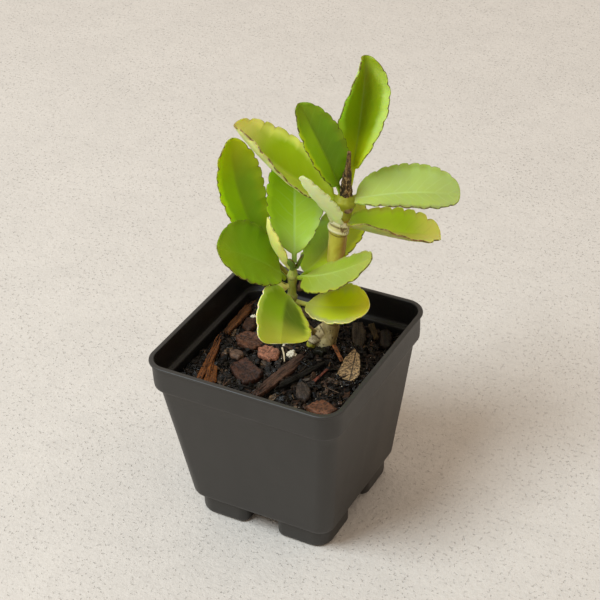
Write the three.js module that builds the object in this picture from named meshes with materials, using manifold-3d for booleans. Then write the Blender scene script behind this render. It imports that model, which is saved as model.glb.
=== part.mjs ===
// A potted kalanchoe: a square plastic nursery pot, bark potting mix, a woody main stem with a dried tip,
// a green side shoot, fleshy scalloped leaves and loose pieces of bark on the mix.
// Millimetres, Z up. Every piece is laid out from the pot's axis, with heights from a level just above
// the ground, and the whole is then moved so that the origin lies on the ground, below the middle of the
// plant's width and depth.
// The pot's front left face looks along -Y and its front right face along +X.
import * as THREE from "three";
import { mergeVertices } from "three/addons/utils/BufferGeometryUtils.js";
import Module from "manifold-3d";

const wasm = await Module();
wasm.setup();

// ---------------------------------------------------------------- driving dimensions

const GROUND = -1.8; // the level that the feet stand on
const MIDDLE = [7.7, 4, GROUND]; // of the plant's width and depth, from the axis of the pot
const GAP = 0.35; // clearance kept between pieces that touch
const POT_HEIGHT = 93.2; // of the rim
const RIM_HALF = 50.8; // half of the 4 inch rim
const RIM_RADIUS = 11;
const LIP_THICKNESS = 1.4;
const LIP_OVERHANG = 1.2; // past the band
const LIP_EDGE = 0.4; // round edge of the lip
const BAND_BOTTOM = 77.5;
const SHOULDER_HALF = 46.9; // body just below the band
const BODY_BOTTOM = 9; // where the walls end between the feet
const BODY_EDGE = [[0, 2.4], [1, 0.9], [3, 0]]; // height, how far its round lower edge draws in
const BODY_BOTTOM_HALF = 38.2;
const BODY_RADIUS = 7.8; // corners of the body
const LEDGE = 1.2; // height of the bevel where the body meets the band
const WALL = 1.3;
const FLOOR = 1.5;
const FOOT_HALF = 35.6; // outer faces of the feet at the ground
const FOOT_DRAFT = 0.02; // how much a foot widens for each millimetre of height
const FOOT_RADIUS = 8.6; // outer corner of a foot
const FOOT_EDGE = [[0, 1.8], [0.8, 0.6], [2.4, 0]]; // height, how far the round lower edge draws in
const CHANNEL_HALF = 8; // half the width of the two channels between the feet
const CHANNEL_RADIUS = 4.6;
const DRAIN_RADIUS = 2;
const DRAIN_OUT = 23; // outer drain holes from the middle
const CORNER_STEPS = 5;

const SOIL_EDGE = 73.6; // height of the mix at the wall
const SOIL_MOUND = 3.9; // how much it rises round the stems
const SOIL_CENTRE = [4, 12];
const SOIL_SPREAD = 24;
const SOIL_CELLS = 16;
const SOIL_ROUGH = 1.5; // height between the lows and the highs of the loose bits
const CRUMBS = 34;
const CHIP_EDGE = 0.5; // how far the worn edges of a chip draw in
const SOCKET_TOP = 3; // how far above a chip its hole in the mix is cleared

const STEM_SIDES = 12;
const ROOT_SIDES = 6;
const MAIN_STEM = [
  // centre and radius, from the root end up to the top node
  { at: [5.5, 18.3, 62.2], r: 3.6 },
  { at: [7.4, 19.4, 73.4], r: 4.6 },
  { at: [9.2, 20.4, 79.5], r: 5.2 },
  { at: [11, 21.4, 85.6], r: 4.6 },
  { at: [11.8, 21.8, 90.7], r: 4.2 },
  { at: [13.4, 22.8, 115.2], r: 4.1 },
  { at: [15.4, 23.9, 137.7], r: 4.3 },
  { at: [15.9, 24.1, 142.6], r: 4.9 },
  { at: [16.4, 24.3, 145.8], r: 4.3 },
  { at: [17, 24.7, 148.9], r: 3.8 },
  { at: [17.9, 25.3, 152.4], r: 4.1 },
  { at: [18.5, 25.6, 155.4], r: 4.9 },
  { at: [18.8, 25.8, 157.2], r: 5 },
  { at: [18.9, 25.9, 158], r: 4.2 },
];
const DRIED_TIP = [
  { at: [18.9, 26, 158.4], r: 2.2 },
  { at: [19.1, 26.1, 160.1], r: 2.9 },
  { at: [19.3, 26.2, 164.1], r: 2.5 },
  { at: [19.8, 26.5, 170.3], r: 1.9 },
  { at: [20.3, 26.7, 175.4], r: 1.1 },
  { at: [20.8, 27, 182], r: 0.8 },
];
const BASE_BUD = [
  // the pale knob and the short bud stub on the near side of the foot
  { at: [9.8, 20.8, 86.1], r: 3 },
  { at: [6.6, 17.5, 83.9], r: 3.1 },
  { at: [5.1, 15.5, 81.2], r: 2.7 },
  { at: [4.3, 14, 78.4], r: 2.2 },
  { at: [4.5, 13.3, 76], r: 1.4 },
];
const SIDE_SHOOT = [
  { at: [6.6, 17.9, 83.2], r: 1.6 },
  { at: [4.5, 14.4, 86.9], r: 1.7 },
  { at: [3.1, 10.2, 94.2], r: 1.7 },
  { at: [2, 7.2, 102.4], r: 1.8 },
  { at: [0.1, 5.7, 109.2], r: 2.1 },
  { at: [0, 5.5, 111.2], r: 2.5 },
  { at: [0.1, 5.5, 113.3], r: 2 },
  { at: [0.6, 5.3, 118.9], r: 2 },
  { at: [1.1, 5.2, 123], r: 2.5 },
  { at: [1.4, 5.2, 126], r: 1.8 },
  { at: [2, 5.5, 129.1], r: 1.2 },
];

// Leaves. at: where the stalk leaves the stem. heading: degrees round from +X, rise: degrees above level,
// turn and bend: how far these two change by the tip. roll: of the blade about its midrib, twist: its
// change by the tip. fold: how far the left and right halves are raised. widest: place of the widest
// point along the blade. blunt: small for a round tip. lobes: scallops on each margin.
const LEAVES = [
  { name: "leaf_top", tone: "deep", at: [18.7, 28.3, 157.7], heading: 93, rise: 55, turn: 10, bend: 19,
    roll: -3, twist: 45, stalk: 13, length: 52, width: 35, fold: [56, 58], widest: 0.49, blunt: 0.57,
    lobes: 8 },
  { name: "leaf_upper_left", tone: "deep", at: [16.7, 27.2, 156.7], heading: 235, rise: 75, turn: -66,
    bend: -15, roll: -40, twist: 56, stalk: 8.5, length: 43.5, width: 24.5, fold: [0, 61], widest: 0.5,
    blunt: 0.53, lobes: 8 },
  { name: "leaf_left", tone: "lime", at: [16.2, 24.6, 155.7], heading: 196, rise: 24, turn: 18,
    bend: 34, roll: -32, twist: 21, stalk: 3, length: 59, width: 34.5, fold: [42, 23], widest: 0.54,
    blunt: 0.52, lobes: 8 },
  { name: "leaf_front", tone: "pale", at: [17.6, 21.2, 147.6], heading: -81, rise: 47, turn: -26,
    bend: 12, roll: -9, twist: 15, stalk: 5, length: 44, width: 15, fold: [9, 12], widest: 0.49,
    blunt: 0.59, lobes: 6 },
  { name: "leaf_right", tone: "fresh", at: [21.2, 27.3, 156.6], heading: 31, rise: 11, turn: -7,
    bend: -19, roll: 10, twist: 19, stalk: 2.5, length: 47.5, width: 29.5, fold: [23, 25],
    widest: 0.48, blunt: 0.46, lobes: 9 },
  { name: "leaf_lower_right", tone: "lime", at: [19.3, 24.1, 146], heading: 41, rise: -28, turn: -2,
    bend: 23, roll: 0, twist: 32, stalk: 2, length: 46, width: 27.5, fold: [19, 44], widest: 0.49,
    blunt: 0.45, lobes: 7 },
  { name: "leaf_behind_stem", tone: "olive", at: [3.5, 7.6, 120.8], heading: 74, rise: 12, turn: 26,
    bend: 13, roll: -7, twist: -1, stalk: 4.5, length: 50, width: 28, fold: [2, 4], widest: 0.5,
    blunt: 0.52, lobes: 8 },
  { name: "leaf_shoot_left", tone: "fresh", at: [-1, 7, 120.9], heading: 185, rise: 38, turn: -17,
    bend: 59, roll: -14, twist: -4, stalk: 8.5, length: 67, width: 26.5, fold: [24, 25], widest: 0.64,
    blunt: 0.52, lobes: 10 },
  { name: "leaf_shoot_top", tone: "fresh", at: [1.2, 7.1, 129.1], heading: 115, rise: 60, turn: -3,
    bend: 0, roll: 9, twist: 2, stalk: 4, length: 49, width: 28.5, fold: [19, 15], widest: 0.56,
    blunt: 0.51, lobes: 8 },
  { name: "leaf_round_left", tone: "deep", at: [-1.9, 3, 122], heading: 233, rise: 54, turn: -2,
    bend: -31, roll: -19, twist: -19, stalk: 3.5, length: 38, width: 34.5, fold: [13, 18],
    widest: 0.54, blunt: 0.5, lobes: 8 },
  { name: "leaf_sliver", tone: "pale", at: [0.1, 5.1, 127.1], heading: 224, rise: 57, turn: -25,
    bend: 30, roll: 37, twist: -19, stalk: 3.5, length: 26.5, width: 11, fold: [17, 8], widest: 0.46,
    blunt: 0.5, lobes: 4 },
  { name: "leaf_shoot_right", tone: "fresh", at: [4.1, 5.2, 122.9], heading: -6, rise: 18, turn: 19,
    bend: 19, roll: 4, twist: 0, stalk: 4, length: 38.5, width: 29, fold: [-2, -3], widest: 0.46,
    blunt: 0.49, lobes: 7 },
  { name: "leaf_low_right", tone: "olive", at: [3, 4.6, 109.5], heading: -1, rise: -3, turn: 21,
    bend: 22, roll: 0, twist: 15, stalk: 5.5, length: 31, width: 28.5, fold: [13, 14], widest: 0.51,
    blunt: 0.51, lobes: 6 },
  { name: "leaf_low_front", tone: "olive", at: [1, 2.5, 110.6], heading: -71, rise: 55, turn: 3,
    bend: -113, roll: -38, twist: -2, stalk: 4, length: 35.5, width: 33, fold: [1, 15], widest: 0.76,
    blunt: 0.25, lobes: 6 },
  { name: "leaf_small", tone: "pale", at: [0, 4, 117.9], heading: 191, rise: -11, turn: -6, bend: -1,
    roll: 57, twist: 21, stalk: 1, length: 6.5, width: 8, fold: [22, 8], widest: 0.5, blunt: 0.5,
    lobes: 2 },
];
const STALK_HALF = 1.2;
const STALK_THICKNESS = 2.2;
const BLADE_THICKNESS = 1.5;
const MARGIN_THICKNESS = 0.75;
const SCALLOP_DEPTH = 0.8;
const ENTIRE_BASE = 0.12; // share of the blade, from its base, with a plain margin
const CUP = 0.25; // how much a half blade sags between midrib and margin
const KEEL_WIDTH = 5; // a leaf narrower than this on each side is folded less
const SCALLOP = [[0, 1], [0.35, 0.3], [0.85, 0]]; // place in a scallop, share of the depth cut away there

// Young leaves at the top of the side shoot and a withered bract beside it.
const YOUNG_LEAVES = [
  { name: "leaf_young_right", tone: "young", at: [3.2, 5.6, 128.1], heading: 10, rise: 70, turn: 0,
    bend: -8, roll: -3, twist: 0, stalk: 1, length: 7.5, width: 4.5, fold: [34, 36], widest: 0.5,
    blunt: 0.6, lobes: 1 },
  { name: "leaf_young_left", tone: "young", at: [2.2, 3.4, 128.1], heading: 280, rise: 74, turn: 0,
    bend: -8, roll: -1, twist: 0, stalk: 1, length: 6.5, width: 4, fold: [35, 36], widest: 0.5,
    blunt: 0.6, lobes: 1 },
];

// Loose pieces on the mix. centre: x, y. turn: degrees. tip: degrees about X and Y. lift: how far the
// middle stands above the mix. outline: corners round the middle, before turning.
const BARK = [
  { name: "bark_long_orange", tone: "orange", centre: [-35.8, -16.4], turn: 100, tip: [0, -6],
    lift: 1.6, thick: 2.6,
    outline: [[-17.5, -1.2], [-6, -2.2], [8, -2], [17.5, -0.6], [16, 1], [3, 2.1], [-11, 1.7]] },
  { name: "bark_orange_wedge", tone: "orange", centre: [-27.6, -26.8], turn: 2, tip: [8, 12],
    lift: 1.5, thick: 2.4,
    outline: [[2, -9.5], [5, -8], [2.5, 1], [-1.5, 8.5], [-5, 9], [-5, 5], [-2, -5.5]] },
  { name: "bark_red_square", tone: "red", centre: [-14.8, -15.9], turn: 2, tip: [10, -4], lift: 1.6,
    thick: 4.2,
    outline: [[-2.5, -6], [3.5, -9], [9, -2.5], [8.5, 1.5], [2.5, 4.5], [-3.5, 8], [-8.5, 3.5], [-8, -1]] },
  { name: "bark_grey_chip", tone: "grey", centre: [-26, -6], turn: 2, tip: [-6, 4], lift: 1.6,
    thick: 2.8, outline: [[-1, -4], [3, -3.5], [4.5, 0.5], [1.5, 3.5], [-4.5, 1]] },
  { name: "bark_red_upper", tone: "red", centre: [-25.5, 6.4], turn: 2, tip: [6, 3], lift: 1.8,
    thick: 3.8, outline: [[-4, -5.5], [5, -6], [8, -0.5], [7, 3.5], [1.5, 6.5], [-5, 4.5], [-8, 0]] },
  { name: "bark_salmon", tone: "salmon", centre: [-11.2, -0.5], turn: 2, tip: [5, 0], lift: 2.2,
    thick: 3.4,
    outline: [[-3.5, -4], [3, -4.6], [6.2, -1], [5, 3.2], [1.5, 4.6], [-4, 4.2], [-6, 1.5], [-5.5, -1.5]] },
  { name: "bark_red_left", tone: "red", centre: [-32.4, 18.2], turn: 2, tip: [4, -8], lift: 1.8,
    thick: 3.4, outline: [[2.5, -6], [4, -0.5], [1, 6], [-4, 4.6], [-3, -2]] },
  { name: "bark_brown_slab", tone: "brown", centre: [-40.5, 21.2], turn: 94, tip: [-10, 0], lift: 1.8,
    thick: 2.6, outline: [[-14, -1.5], [-3, -3], [9, -3], [14, -1], [12, 2], [-2, 3], [-12, 2]] },
  { name: "bark_long_dark", tone: "brown", centre: [1.6, -12.9], turn: 82, tip: [4, 0], lift: 1.7,
    thick: 3.4,
    outline: [[-19.5, -1.5], [-7, -3.2], [9, -3.4], [19, -1.6], [18, 1.5], [5, 2.6], [-9, 2.4], [-18, 0.8]] },
  { name: "bark_long_black", tone: "black", centre: [11.2, -7.9], turn: 68, tip: [-5, 0], lift: 1.3,
    thick: 2.4, outline: [[-15, -1.3], [0, -2], [14, -1.2], [15, 0.8], [1, 1.8], [-13, 1.4]] },
  { name: "bark_grey_round", tone: "grey", centre: [17.9, -18.8], turn: 2, tip: [9, 0], lift: 1.8,
    thick: 3.2,
    outline: [[-1.5, -4.5], [3.5, -5.6], [4.5, -3], [3.5, 1.5], [1, 4], [-3.6, 5.4], [-5, 3.4], [-4, -0.5]] },
  { name: "stick_red", tone: "salmon", centre: [19.2, -4.6], turn: 78, tip: [0, -8], lift: 1.9,
    thick: 1.4, outline: [[-5.5, -0.9], [5.5, -0.7], [5.5, 0.7], [-5.5, 0.9]] },
  { name: "twig_orange", tone: "orange", centre: [19.7, 12.8], turn: -44, tip: [0, 7], lift: 2.2,
    thick: 1.8, outline: [[-6, -1.1], [6, -0.9], [6, 0.9], [-6, 1.1]] },
  { name: "bark_grey_right", tone: "black", centre: [20, 33.1], turn: 2, tip: [10, 0], lift: 1.8,
    thick: 3,
    outline: [[0, -6.5], [3, -9], [6, -8], [5.5, -2], [3, 4], [-1, 8.5], [-5.5, 6.5], [-3.5, 0]] },
  { name: "bark_purple_right", tone: "black", centre: [34.3, 36.1], turn: 2, tip: [8, 8], lift: 1.6,
    thick: 3.4, outline: [[-1, -6], [3, -6], [4.5, -3], [0.5, 5.5], [-4, 5.5], [-5, 3]] },
  { name: "bark_back_grey", tone: "grey", centre: [-13.2, 39.5], turn: 22, tip: [14, 0], lift: 2,
    thick: 3.2, outline: [[-7, -2.5], [4, -4], [7.5, 0], [3, 3.4], [-5, 3]] },
  { name: "bark_red_corner", tone: "red", centre: [31.2, -25.7], turn: 2, tip: [9, 5], lift: 2,
    thick: 4,
    outline: [[-3.5, -5], [5, -4.5], [7, 2], [2.5, 4.5], [-2, 5.2], [-4.5, 3.5], [-7, -2.5]] },
  { name: "bark_front_chip", tone: "brown", centre: [8.7, -34.2], turn: 14, tip: [6, 0], lift: 1.6,
    thick: 2.8, outline: [[-3.5, -2.5], [2.5, -3], [3.8, 1], [0.5, 3.2], [-3.2, 2]] },
  { name: "charcoal", tone: "black", centre: [11, 11], turn: 20, tip: [0, 10], lift: 1.6, thick: 4,
    outline: [[-3.2, -2.2], [1.4, -2.8], [3.4, -0.5], [1.8, 2.2], [-2.6, 2]] },
  { name: "twig_stub", tone: "twig", centre: [26.1, 38.5], turn: -48, tip: [0, 14], lift: 2.2,
    thick: 2.8, outline: [[-5.5, -1.6], [5, -1.4], [5, 1.4], [-5.5, 1.6]] },
  { name: "dry_leaf", tone: "straw", centre: [30.1, 7.9], turn: 2, tip: [16, -4], lift: 3.4,
    thick: 0.9,
    outline: [[-1.5, -9], [4.5, -9.5], [5.5, -5], [3, 2], [0.5, 7], [-3, 9.5], [-5.5, 3.5], [-5, -7]] },
];
const PERLITE = [
  { name: "perlite_1", centre: [-0.5, 3.1], radius: 2.3, lift: 0.9 },
  { name: "perlite_2", centre: [-7.7, 9.4], radius: 1.1, lift: 0.4 },
  { name: "perlite_3", centre: [-35.2, 27.6], radius: 1.6, lift: 0.6 },
  { name: "perlite_4", centre: [31.5, -5], radius: 1, lift: 0.4 },
];
const ROOT = [
  // a pale root end lying on the mix
  { at: [-7, 5.9, 78.8], r: 0.6 },
  { at: [-3.6, 1.4, 79], r: 0.55 },
  { at: [-0.9, -3, 78.7], r: 0.45 },
];
const BRACT = [
  // the withered bract on the right of the shoot
  { at: [3.9, 4.8, 115.9], r: 0.6 },
  { at: [4.9, 5.4, 117.1], r: 1.5 },
  { at: [5.2, 5.8, 119.2], r: 1.3 },
  { at: [4.8, 5.6, 120.8], r: 0.5 },
];

const COLOURS = {
  pot: 0x46423f, mix: 0x1d1810, stem: 0xae9c55, dried: 0x54401f, bud: 0x8f8f2f, shoot: 0x83913a,
  young: 0x3f5a16, root: 0xd9cfb0, perlite: 0xeee9dc, bract: 0x6b4426,
  deep: 0x567a0a, fresh: 0x8fb030, lime: 0xa3ad2a, olive: 0x83930f, pale: 0xbcc874,
  orange: 0x7a4a22, red: 0x6a4636, grey: 0x5a4c44, salmon: 0x9a6650, brown: 0x4e3a2c, black: 0x26211b,
  straw: 0x85704f, twig: 0x5d4a36,
};
const ROUGHNESS = {
  pot: 0.5, mix: 0.8, deep: 0.4, fresh: 0.4, lime: 0.4, olive: 0.4, pale: 0.5, shoot: 0.45,
};
const PLAIN_ROUGHNESS = 0.75;

// ---------------------------------------------------------------- helpers

const radians = THREE.MathUtils.degToRad;

// Repeatable random numbers from 0 to 1.
function randomFrom(seed) {
  let state = seed;
  return () => {
    state = (state + 0x6d2b79f5) | 0;
    let t = Math.imul(state ^ (state >>> 15), 1 | state);
    t = (t + Math.imul(t ^ (t >>> 7), 61 | t)) ^ t;
    return ((t ^ (t >>> 14)) >>> 0) / 4294967296;
  };
}

// A geometry from points and triangles that share them.
function surface(points, triangles) {
  const positions = new Float32Array(points.flatMap((p) => [p.x, p.y, p.z]));
  const geometry = new THREE.BufferGeometry();
  geometry.setAttribute("position", new THREE.BufferAttribute(positions, 3));
  geometry.setIndex(triangles);
  return geometry;
}

// The same surface as a solid to join and cut.
function solidOf(geometry) {
  const bare = geometry.clone();
  bare.deleteAttribute("normal");
  bare.deleteAttribute("uv");
  const merged = mergeVertices(bare, 1e-4);
  const mesh = new wasm.Mesh({
    numProp: 3,
    vertProperties: merged.attributes.position.array,
    triVerts: new Uint32Array(merged.index.array),
  });
  return new wasm.Manifold(mesh);
}

// A solid's surface back as a geometry.
function geometryOf(solid) {
  const mesh = solid.getMesh();
  const geometry = new THREE.BufferGeometry();
  geometry.setAttribute("position", new THREE.BufferAttribute(mesh.vertProperties, 3));
  geometry.setIndex(new THREE.BufferAttribute(mesh.triVerts, 1));
  return geometry;
}

// The largest body of a solid, without crumbs that a cut leaves.
function mainBody(solid) {
  const bodies = solid.decompose();
  return bodies.reduce((best, body) => (body.volume() > best.volume() ? body : best));
}

function middleOf(points) {
  const sum = points.reduce((total, p) => total.add(p), new THREE.Vector3());
  return sum.divideScalar(points.length);
}

// A closed surface through rings of equally many points, each counter-clockwise seen from the last ring.
// Sides that other picks are split along their other diagonal.
function loft(rings, other = () => false) {
  const sides = rings[0].length;
  const points = rings.flat();
  const triangles = [];
  for (let i = 0; i + 1 < rings.length; i++) {
    for (let j = 0; j < sides; j++) {
      const a = i * sides + j;
      const b = i * sides + ((j + 1) % sides);
      if (other(j)) triangles.push(a, b, a + sides, b, b + sides, a + sides);
      else triangles.push(a, b, b + sides, a, b + sides, a + sides);
    }
  }
  const first = points.push(middleOf(rings[0])) - 1;
  const last = points.push(middleOf(rings.at(-1))) - 1;
  const top = (rings.length - 1) * sides;
  for (let j = 0; j < sides; j++) {
    const k = (j + 1) % sides;
    triangles.push(first, k, j, last, top + j, top + k);
  }
  return surface(points, triangles);
}

// ---------------------------------------------------------------- pot and potting mix

// A rectangle with round corners at a height. radii start at the +X +Y corner and go round by the left.
function roundedRing([x0, x1], [y0, y1], radii, z) {
  const corners = [[x1, y1, -1, -1], [x0, y1, 1, -1], [x0, y0, 1, 1], [x1, y0, -1, 1]];
  return corners.flatMap(([x, y, inX, inY], quarter) =>
    Array.from({ length: CORNER_STEPS + 1 }, (_, step) => {
      const r = radii[quarter];
      const angle = (quarter + step / CORNER_STEPS) * (Math.PI / 2);
      return new THREE.Vector3(x + inX * r + r * Math.cos(angle), y + inY * r + r * Math.sin(angle), z);
    }),
  );
}

const square = (half, radius, z) => roundedRing([-half, half], [-half, half], Array(4).fill(radius), z);

// Half width of the tapering body at a height.
const bodyHalf = (z) =>
  THREE.MathUtils.mapLinear(z, BODY_BOTTOM, BAND_BOTTOM, BODY_BOTTOM_HALF, SHOULDER_HALF);

const bodyRing = (z, inset) => square(bodyHalf(z) - inset, BODY_RADIUS - inset, z);

// Corner feet as signs of X and Y, in the order of a ring's corners.
const FEET = [[1, 1], [-1, 1], [-1, -1], [1, -1]];

// One foot, drawn in by inset and with its underside raised by lift.
function foot(signX, signY, inset, lift) {
  const heights = FOOT_EDGE.map(([z]) => GROUND + z + lift);
  const top = BODY_BOTTOM + FLOOR / 2 + lift;
  const rings = [...heights, top].map((z, i) => {
    const drawn = inset + (FOOT_EDGE[i]?.[1] ?? 0);
    const span = [CHANNEL_HALF + drawn, FOOT_HALF + FOOT_DRAFT * (z - GROUND) - drawn];
    const mirrored = [-span[1], -span[0]];
    const inner = Math.max(CHANNEL_RADIUS - drawn, 0.6);
    const outer = FOOT_RADIUS - drawn;
    const radii = FEET.map(([x, y]) => (x === signX && y === signY ? outer : inner));
    return roundedRing(signX > 0 ? span : mirrored, signY > 0 ? span : mirrored, radii, z);
  });
  return solidOf(loft(rings));
}

// The hollow of the pot, drawn in by inset: what the mix fills.
function hollow(inset, floorLift) {
  const body = solidOf(
    loft([
      bodyRing(BODY_BOTTOM + FLOOR + floorLift, inset),
      bodyRing(BAND_BOTTOM, inset),
      square(SHOULDER_HALF - inset + 0.1, BODY_RADIUS - inset, BAND_BOTTOM + LEDGE),
    ]),
  );
  return FEET.reduce((solid, [x, y]) => solid.add(foot(x, y, inset, FLOOR + floorLift)), body);
}

function makePot() {
  const bandHalf = RIM_HALF - LIP_OVERHANG;
  const lipBottom = POT_HEIGHT - LIP_THICKNESS;
  const shell = solidOf(
    loft([
      ...BODY_EDGE.map(([height, drawn]) => bodyRing(BODY_BOTTOM + height, drawn)),
      bodyRing(BAND_BOTTOM - LEDGE, 0),
      square(SHOULDER_HALF + 0.7, BODY_RADIUS + 0.6, BAND_BOTTOM),
      square(bandHalf - 0.2, RIM_RADIUS - LIP_OVERHANG, BAND_BOTTOM + 1.8),
      square(bandHalf, RIM_RADIUS - LIP_OVERHANG, lipBottom - 0.2),
      square(RIM_HALF - 0.2, RIM_RADIUS, lipBottom),
      square(RIM_HALF, RIM_RADIUS, POT_HEIGHT - LIP_EDGE),
      square(RIM_HALF - LIP_EDGE, RIM_RADIUS - LIP_EDGE, POT_HEIGHT),
    ]),
  );
  const mouth = solidOf(
    loft([
      square(SHOULDER_HALF - WALL, BODY_RADIUS - WALL, BAND_BOTTOM + 1),
      square(bandHalf - WALL - 0.2, RIM_RADIUS - LIP_OVERHANG - WALL, BAND_BOTTOM + 2),
      square(bandHalf - WALL, RIM_RADIUS - LIP_OVERHANG - WALL, POT_HEIGHT + 1),
    ]),
  );
  const feet = FEET.reduce((solid, [x, y]) => solid.add(foot(x, y, 0, 0)), shell);
  const drains = [[0, 0], [0, -DRAIN_OUT], [0, DRAIN_OUT], [-DRAIN_OUT, 0], [DRAIN_OUT, 0]];
  const cut = drains.reduce((solid, [x, y]) => {
    const bore = new THREE.CylinderGeometry(DRAIN_RADIUS, DRAIN_RADIUS, 10, 12);
    bore.rotateX(Math.PI / 2).translate(x, y, BODY_BOTTOM);
    return solid.subtract(solidOf(bore));
  }, feet.subtract(hollow(WALL, 0)).subtract(mouth));
  return mainBody(cut);
}

// Height of the potting mix, without its crumbs.
function mixHeight(x, y) {
  const distance = Math.hypot(x - SOIL_CENTRE[0], y - SOIL_CENTRE[1]);
  const mound = SOIL_MOUND * Math.exp(-(distance ** 2) / (2 * SOIL_SPREAD ** 2));
  const waves = 0.5 * Math.sin(x / 5.1 + 1) * Math.cos(y / 6.3) + 0.35 * Math.sin(y / 3.7 - x / 8.9);
  return SOIL_EDGE + mound + waves;
}

// Everything above the mix, as a slab whose underside is the rough top of the mix.
function airAboveMix() {
  const random = randomFrom(7);
  const reach = RIM_HALF + 4;
  const ceiling = POT_HEIGHT + 10;
  const row = SOIL_CELLS + 1;
  const points = [];
  const triangles = [];
  for (const top of [false, true]) {
    for (let i = 0; i < row * row; i++) {
      const x = reach * (2 * ((i % row) / SOIL_CELLS) - 1);
      const y = reach * (2 * (Math.floor(i / row) / SOIL_CELLS) - 1);
      const rough = SOIL_ROUGH * (random() - 0.5);
      points.push(new THREE.Vector3(x, y, top ? ceiling : mixHeight(x, y) + rough));
    }
  }
  const above = row * row;
  for (let i = 0; i < SOIL_CELLS; i++) {
    for (let j = 0; j < SOIL_CELLS; j++) {
      const a = i * row + j;
      const corners = [a, a + 1, a + row + 1, a + row];
      const [p, q, r, s] = corners;
      triangles.push(p, r, q, p, s, r);
      const [t, u, v, w] = corners.map((n) => n + above);
      triangles.push(t, u, v, t, v, w);
    }
  }
  const last = SOIL_CELLS * row;
  for (let j = 0; j < SOIL_CELLS; j++) {
    const walls = [
      [j, j + 1],
      [last + j + 1, last + j],
      [(j + 1) * row, j * row],
      [j * row + SOIL_CELLS, (j + 1) * row + SOIL_CELLS],
    ];
    for (const [a, b] of walls) triangles.push(a, b, b + above, a, b + above, a + above);
  }
  return solidOf(surface(points, triangles));
}

// A small faceted lump with its middle at the origin: a box whose corners are pushed about.
function crumb(length, width, height, random) {
  const box = new THREE.BoxGeometry(length, width, height);
  box.deleteAttribute("normal");
  box.deleteAttribute("uv");
  const lump = mergeVertices(box, 1e-4);
  const positions = lump.attributes.position;
  for (let i = 0; i < positions.count; i++) {
    positions.setX(i, positions.getX(i) * (0.6 + 0.4 * random()));
    positions.setY(i, positions.getY(i) * (0.6 + 0.4 * random()));
    positions.setZ(i, positions.getZ(i) * (0.7 + 0.3 * random()));
  }
  return lump;
}

function makeMix(pieces) {
  const inset = WALL + GAP;
  const random = randomFrom(23);
  const filled = hollow(inset, GAP);
  const crumbs = [];
  for (let i = 0; i < CRUMBS; i++) {
    const reach = 0.92 * (bodyHalf(SOIL_EDGE) - inset);
    const x = reach * (2 * random() - 1);
    const y = reach * (2 * random() - 1);
    const lump = crumb(3 + 5 * random(), 2 + 2 * random(), 2 + 1.5 * random(), random);
    lump.rotateX(radians(30 * (random() - 0.5))).rotateZ(Math.PI * random());
    lump.translate(x, y, mixHeight(x, y) + 0.3);
    crumbs.push(solidOf(lump));
  }
  const levels = [SOIL_EDGE - 8, BAND_BOTTOM, BAND_BOTTOM + 4];
  const rim = solidOf(loft(levels.map((z) => bodyRing(z, inset))));
  const covered = filled.subtract(airAboveMix()).add(wasm.Manifold.union(crumbs).intersect(rim));
  return mainBody(pieces.reduce((mix, piece) => mix.subtract(piece), covered));
}

// ---------------------------------------------------------------- loose pieces

// A polygon with its corners moved outwards by a distance.
function grow(outline, by) {
  return outline.map(([x, y], i) => {
    const [beforeX, beforeY] = outline.at(i - 1);
    const [afterX, afterY] = outline[(i + 1) % outline.length];
    const first = new THREE.Vector2(y - beforeY, beforeX - x).normalize();
    const second = new THREE.Vector2(afterY - y, x - afterX).normalize();
    const reach = by / Math.max(1 + first.dot(second), 0.5);
    return [x + reach * (first.x + second.x), y + reach * (first.y + second.y)];
  });
}

// Where a loose piece lies: its middle above the mix, tipped and turned.
function placementOf({ centre, turn = 0, tip = [0, 0], lift }) {
  const turned = new THREE.Euler(radians(tip[0]), radians(tip[1]), radians(turn), "ZYX");
  const place = new THREE.Vector3(centre[0], centre[1], mixHeight(...centre) + lift);
  return new THREE.Matrix4().makeRotationFromEuler(turned).setPosition(place);
}

// An outline at a height, its corners moved out by a distance and up or down by as much as jitter.
function level(outline, height, out, jitter, random = () => 0) {
  return grow(outline, out).map(([x, y]) => new THREE.Vector3(x, y, height + jitter * (random() - 0.5)));
}

// A chip of bark round the origin, with worn edges and a rough top.
function chip({ outline, thick, centre }) {
  const random = randomFrom(Math.round(100 * Math.abs(centre[0] + 3 * centre[1])));
  const wear = Math.min(CHIP_EDGE, 0.3 * thick);
  return loft([
    level(outline, -thick / 2, -wear, 0),
    level(outline, -0.1 * thick, 0, 0.2 * thick, random),
    level(outline, 0.28 * thick, -0.1 * wear, 0.15 * thick, random),
    level(outline, thick / 2, -wear, 0.25 * thick, random),
  ]);
}

// The plain hole in the mix that a chip lies in.
function socket(piece) {
  const { outline, thick } = piece;
  const bottom = level(outline, -thick / 2 - GAP, GAP, 0);
  const top = level(outline, thick / 2 + SOCKET_TOP, GAP, 0);
  return solidOf(loft([bottom, top]).applyMatrix4(placementOf(piece)));
}

// A light grain, half sunk in the mix.
function grain(radius) {
  const random = randomFrom(Math.round(1000 * radius));
  const ball = new THREE.IcosahedronGeometry(radius, 0);
  ball.deleteAttribute("normal");
  ball.deleteAttribute("uv");
  const lump = mergeVertices(ball, 1e-4);
  const positions = lump.attributes.position;
  for (let i = 0; i < positions.count; i++) {
    const point = new THREE.Vector3().fromBufferAttribute(positions, i);
    point.multiplyScalar(0.8 + 0.2 * random());
    positions.setXYZ(i, point.x, point.y, point.z);
  }
  return lump;
}

function grainSocket(piece) {
  const ball = new THREE.IcosahedronGeometry(piece.radius + 2 * GAP, 0);
  return solidOf(ball.applyMatrix4(placementOf(piece)));
}

// ---------------------------------------------------------------- stems

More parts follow.
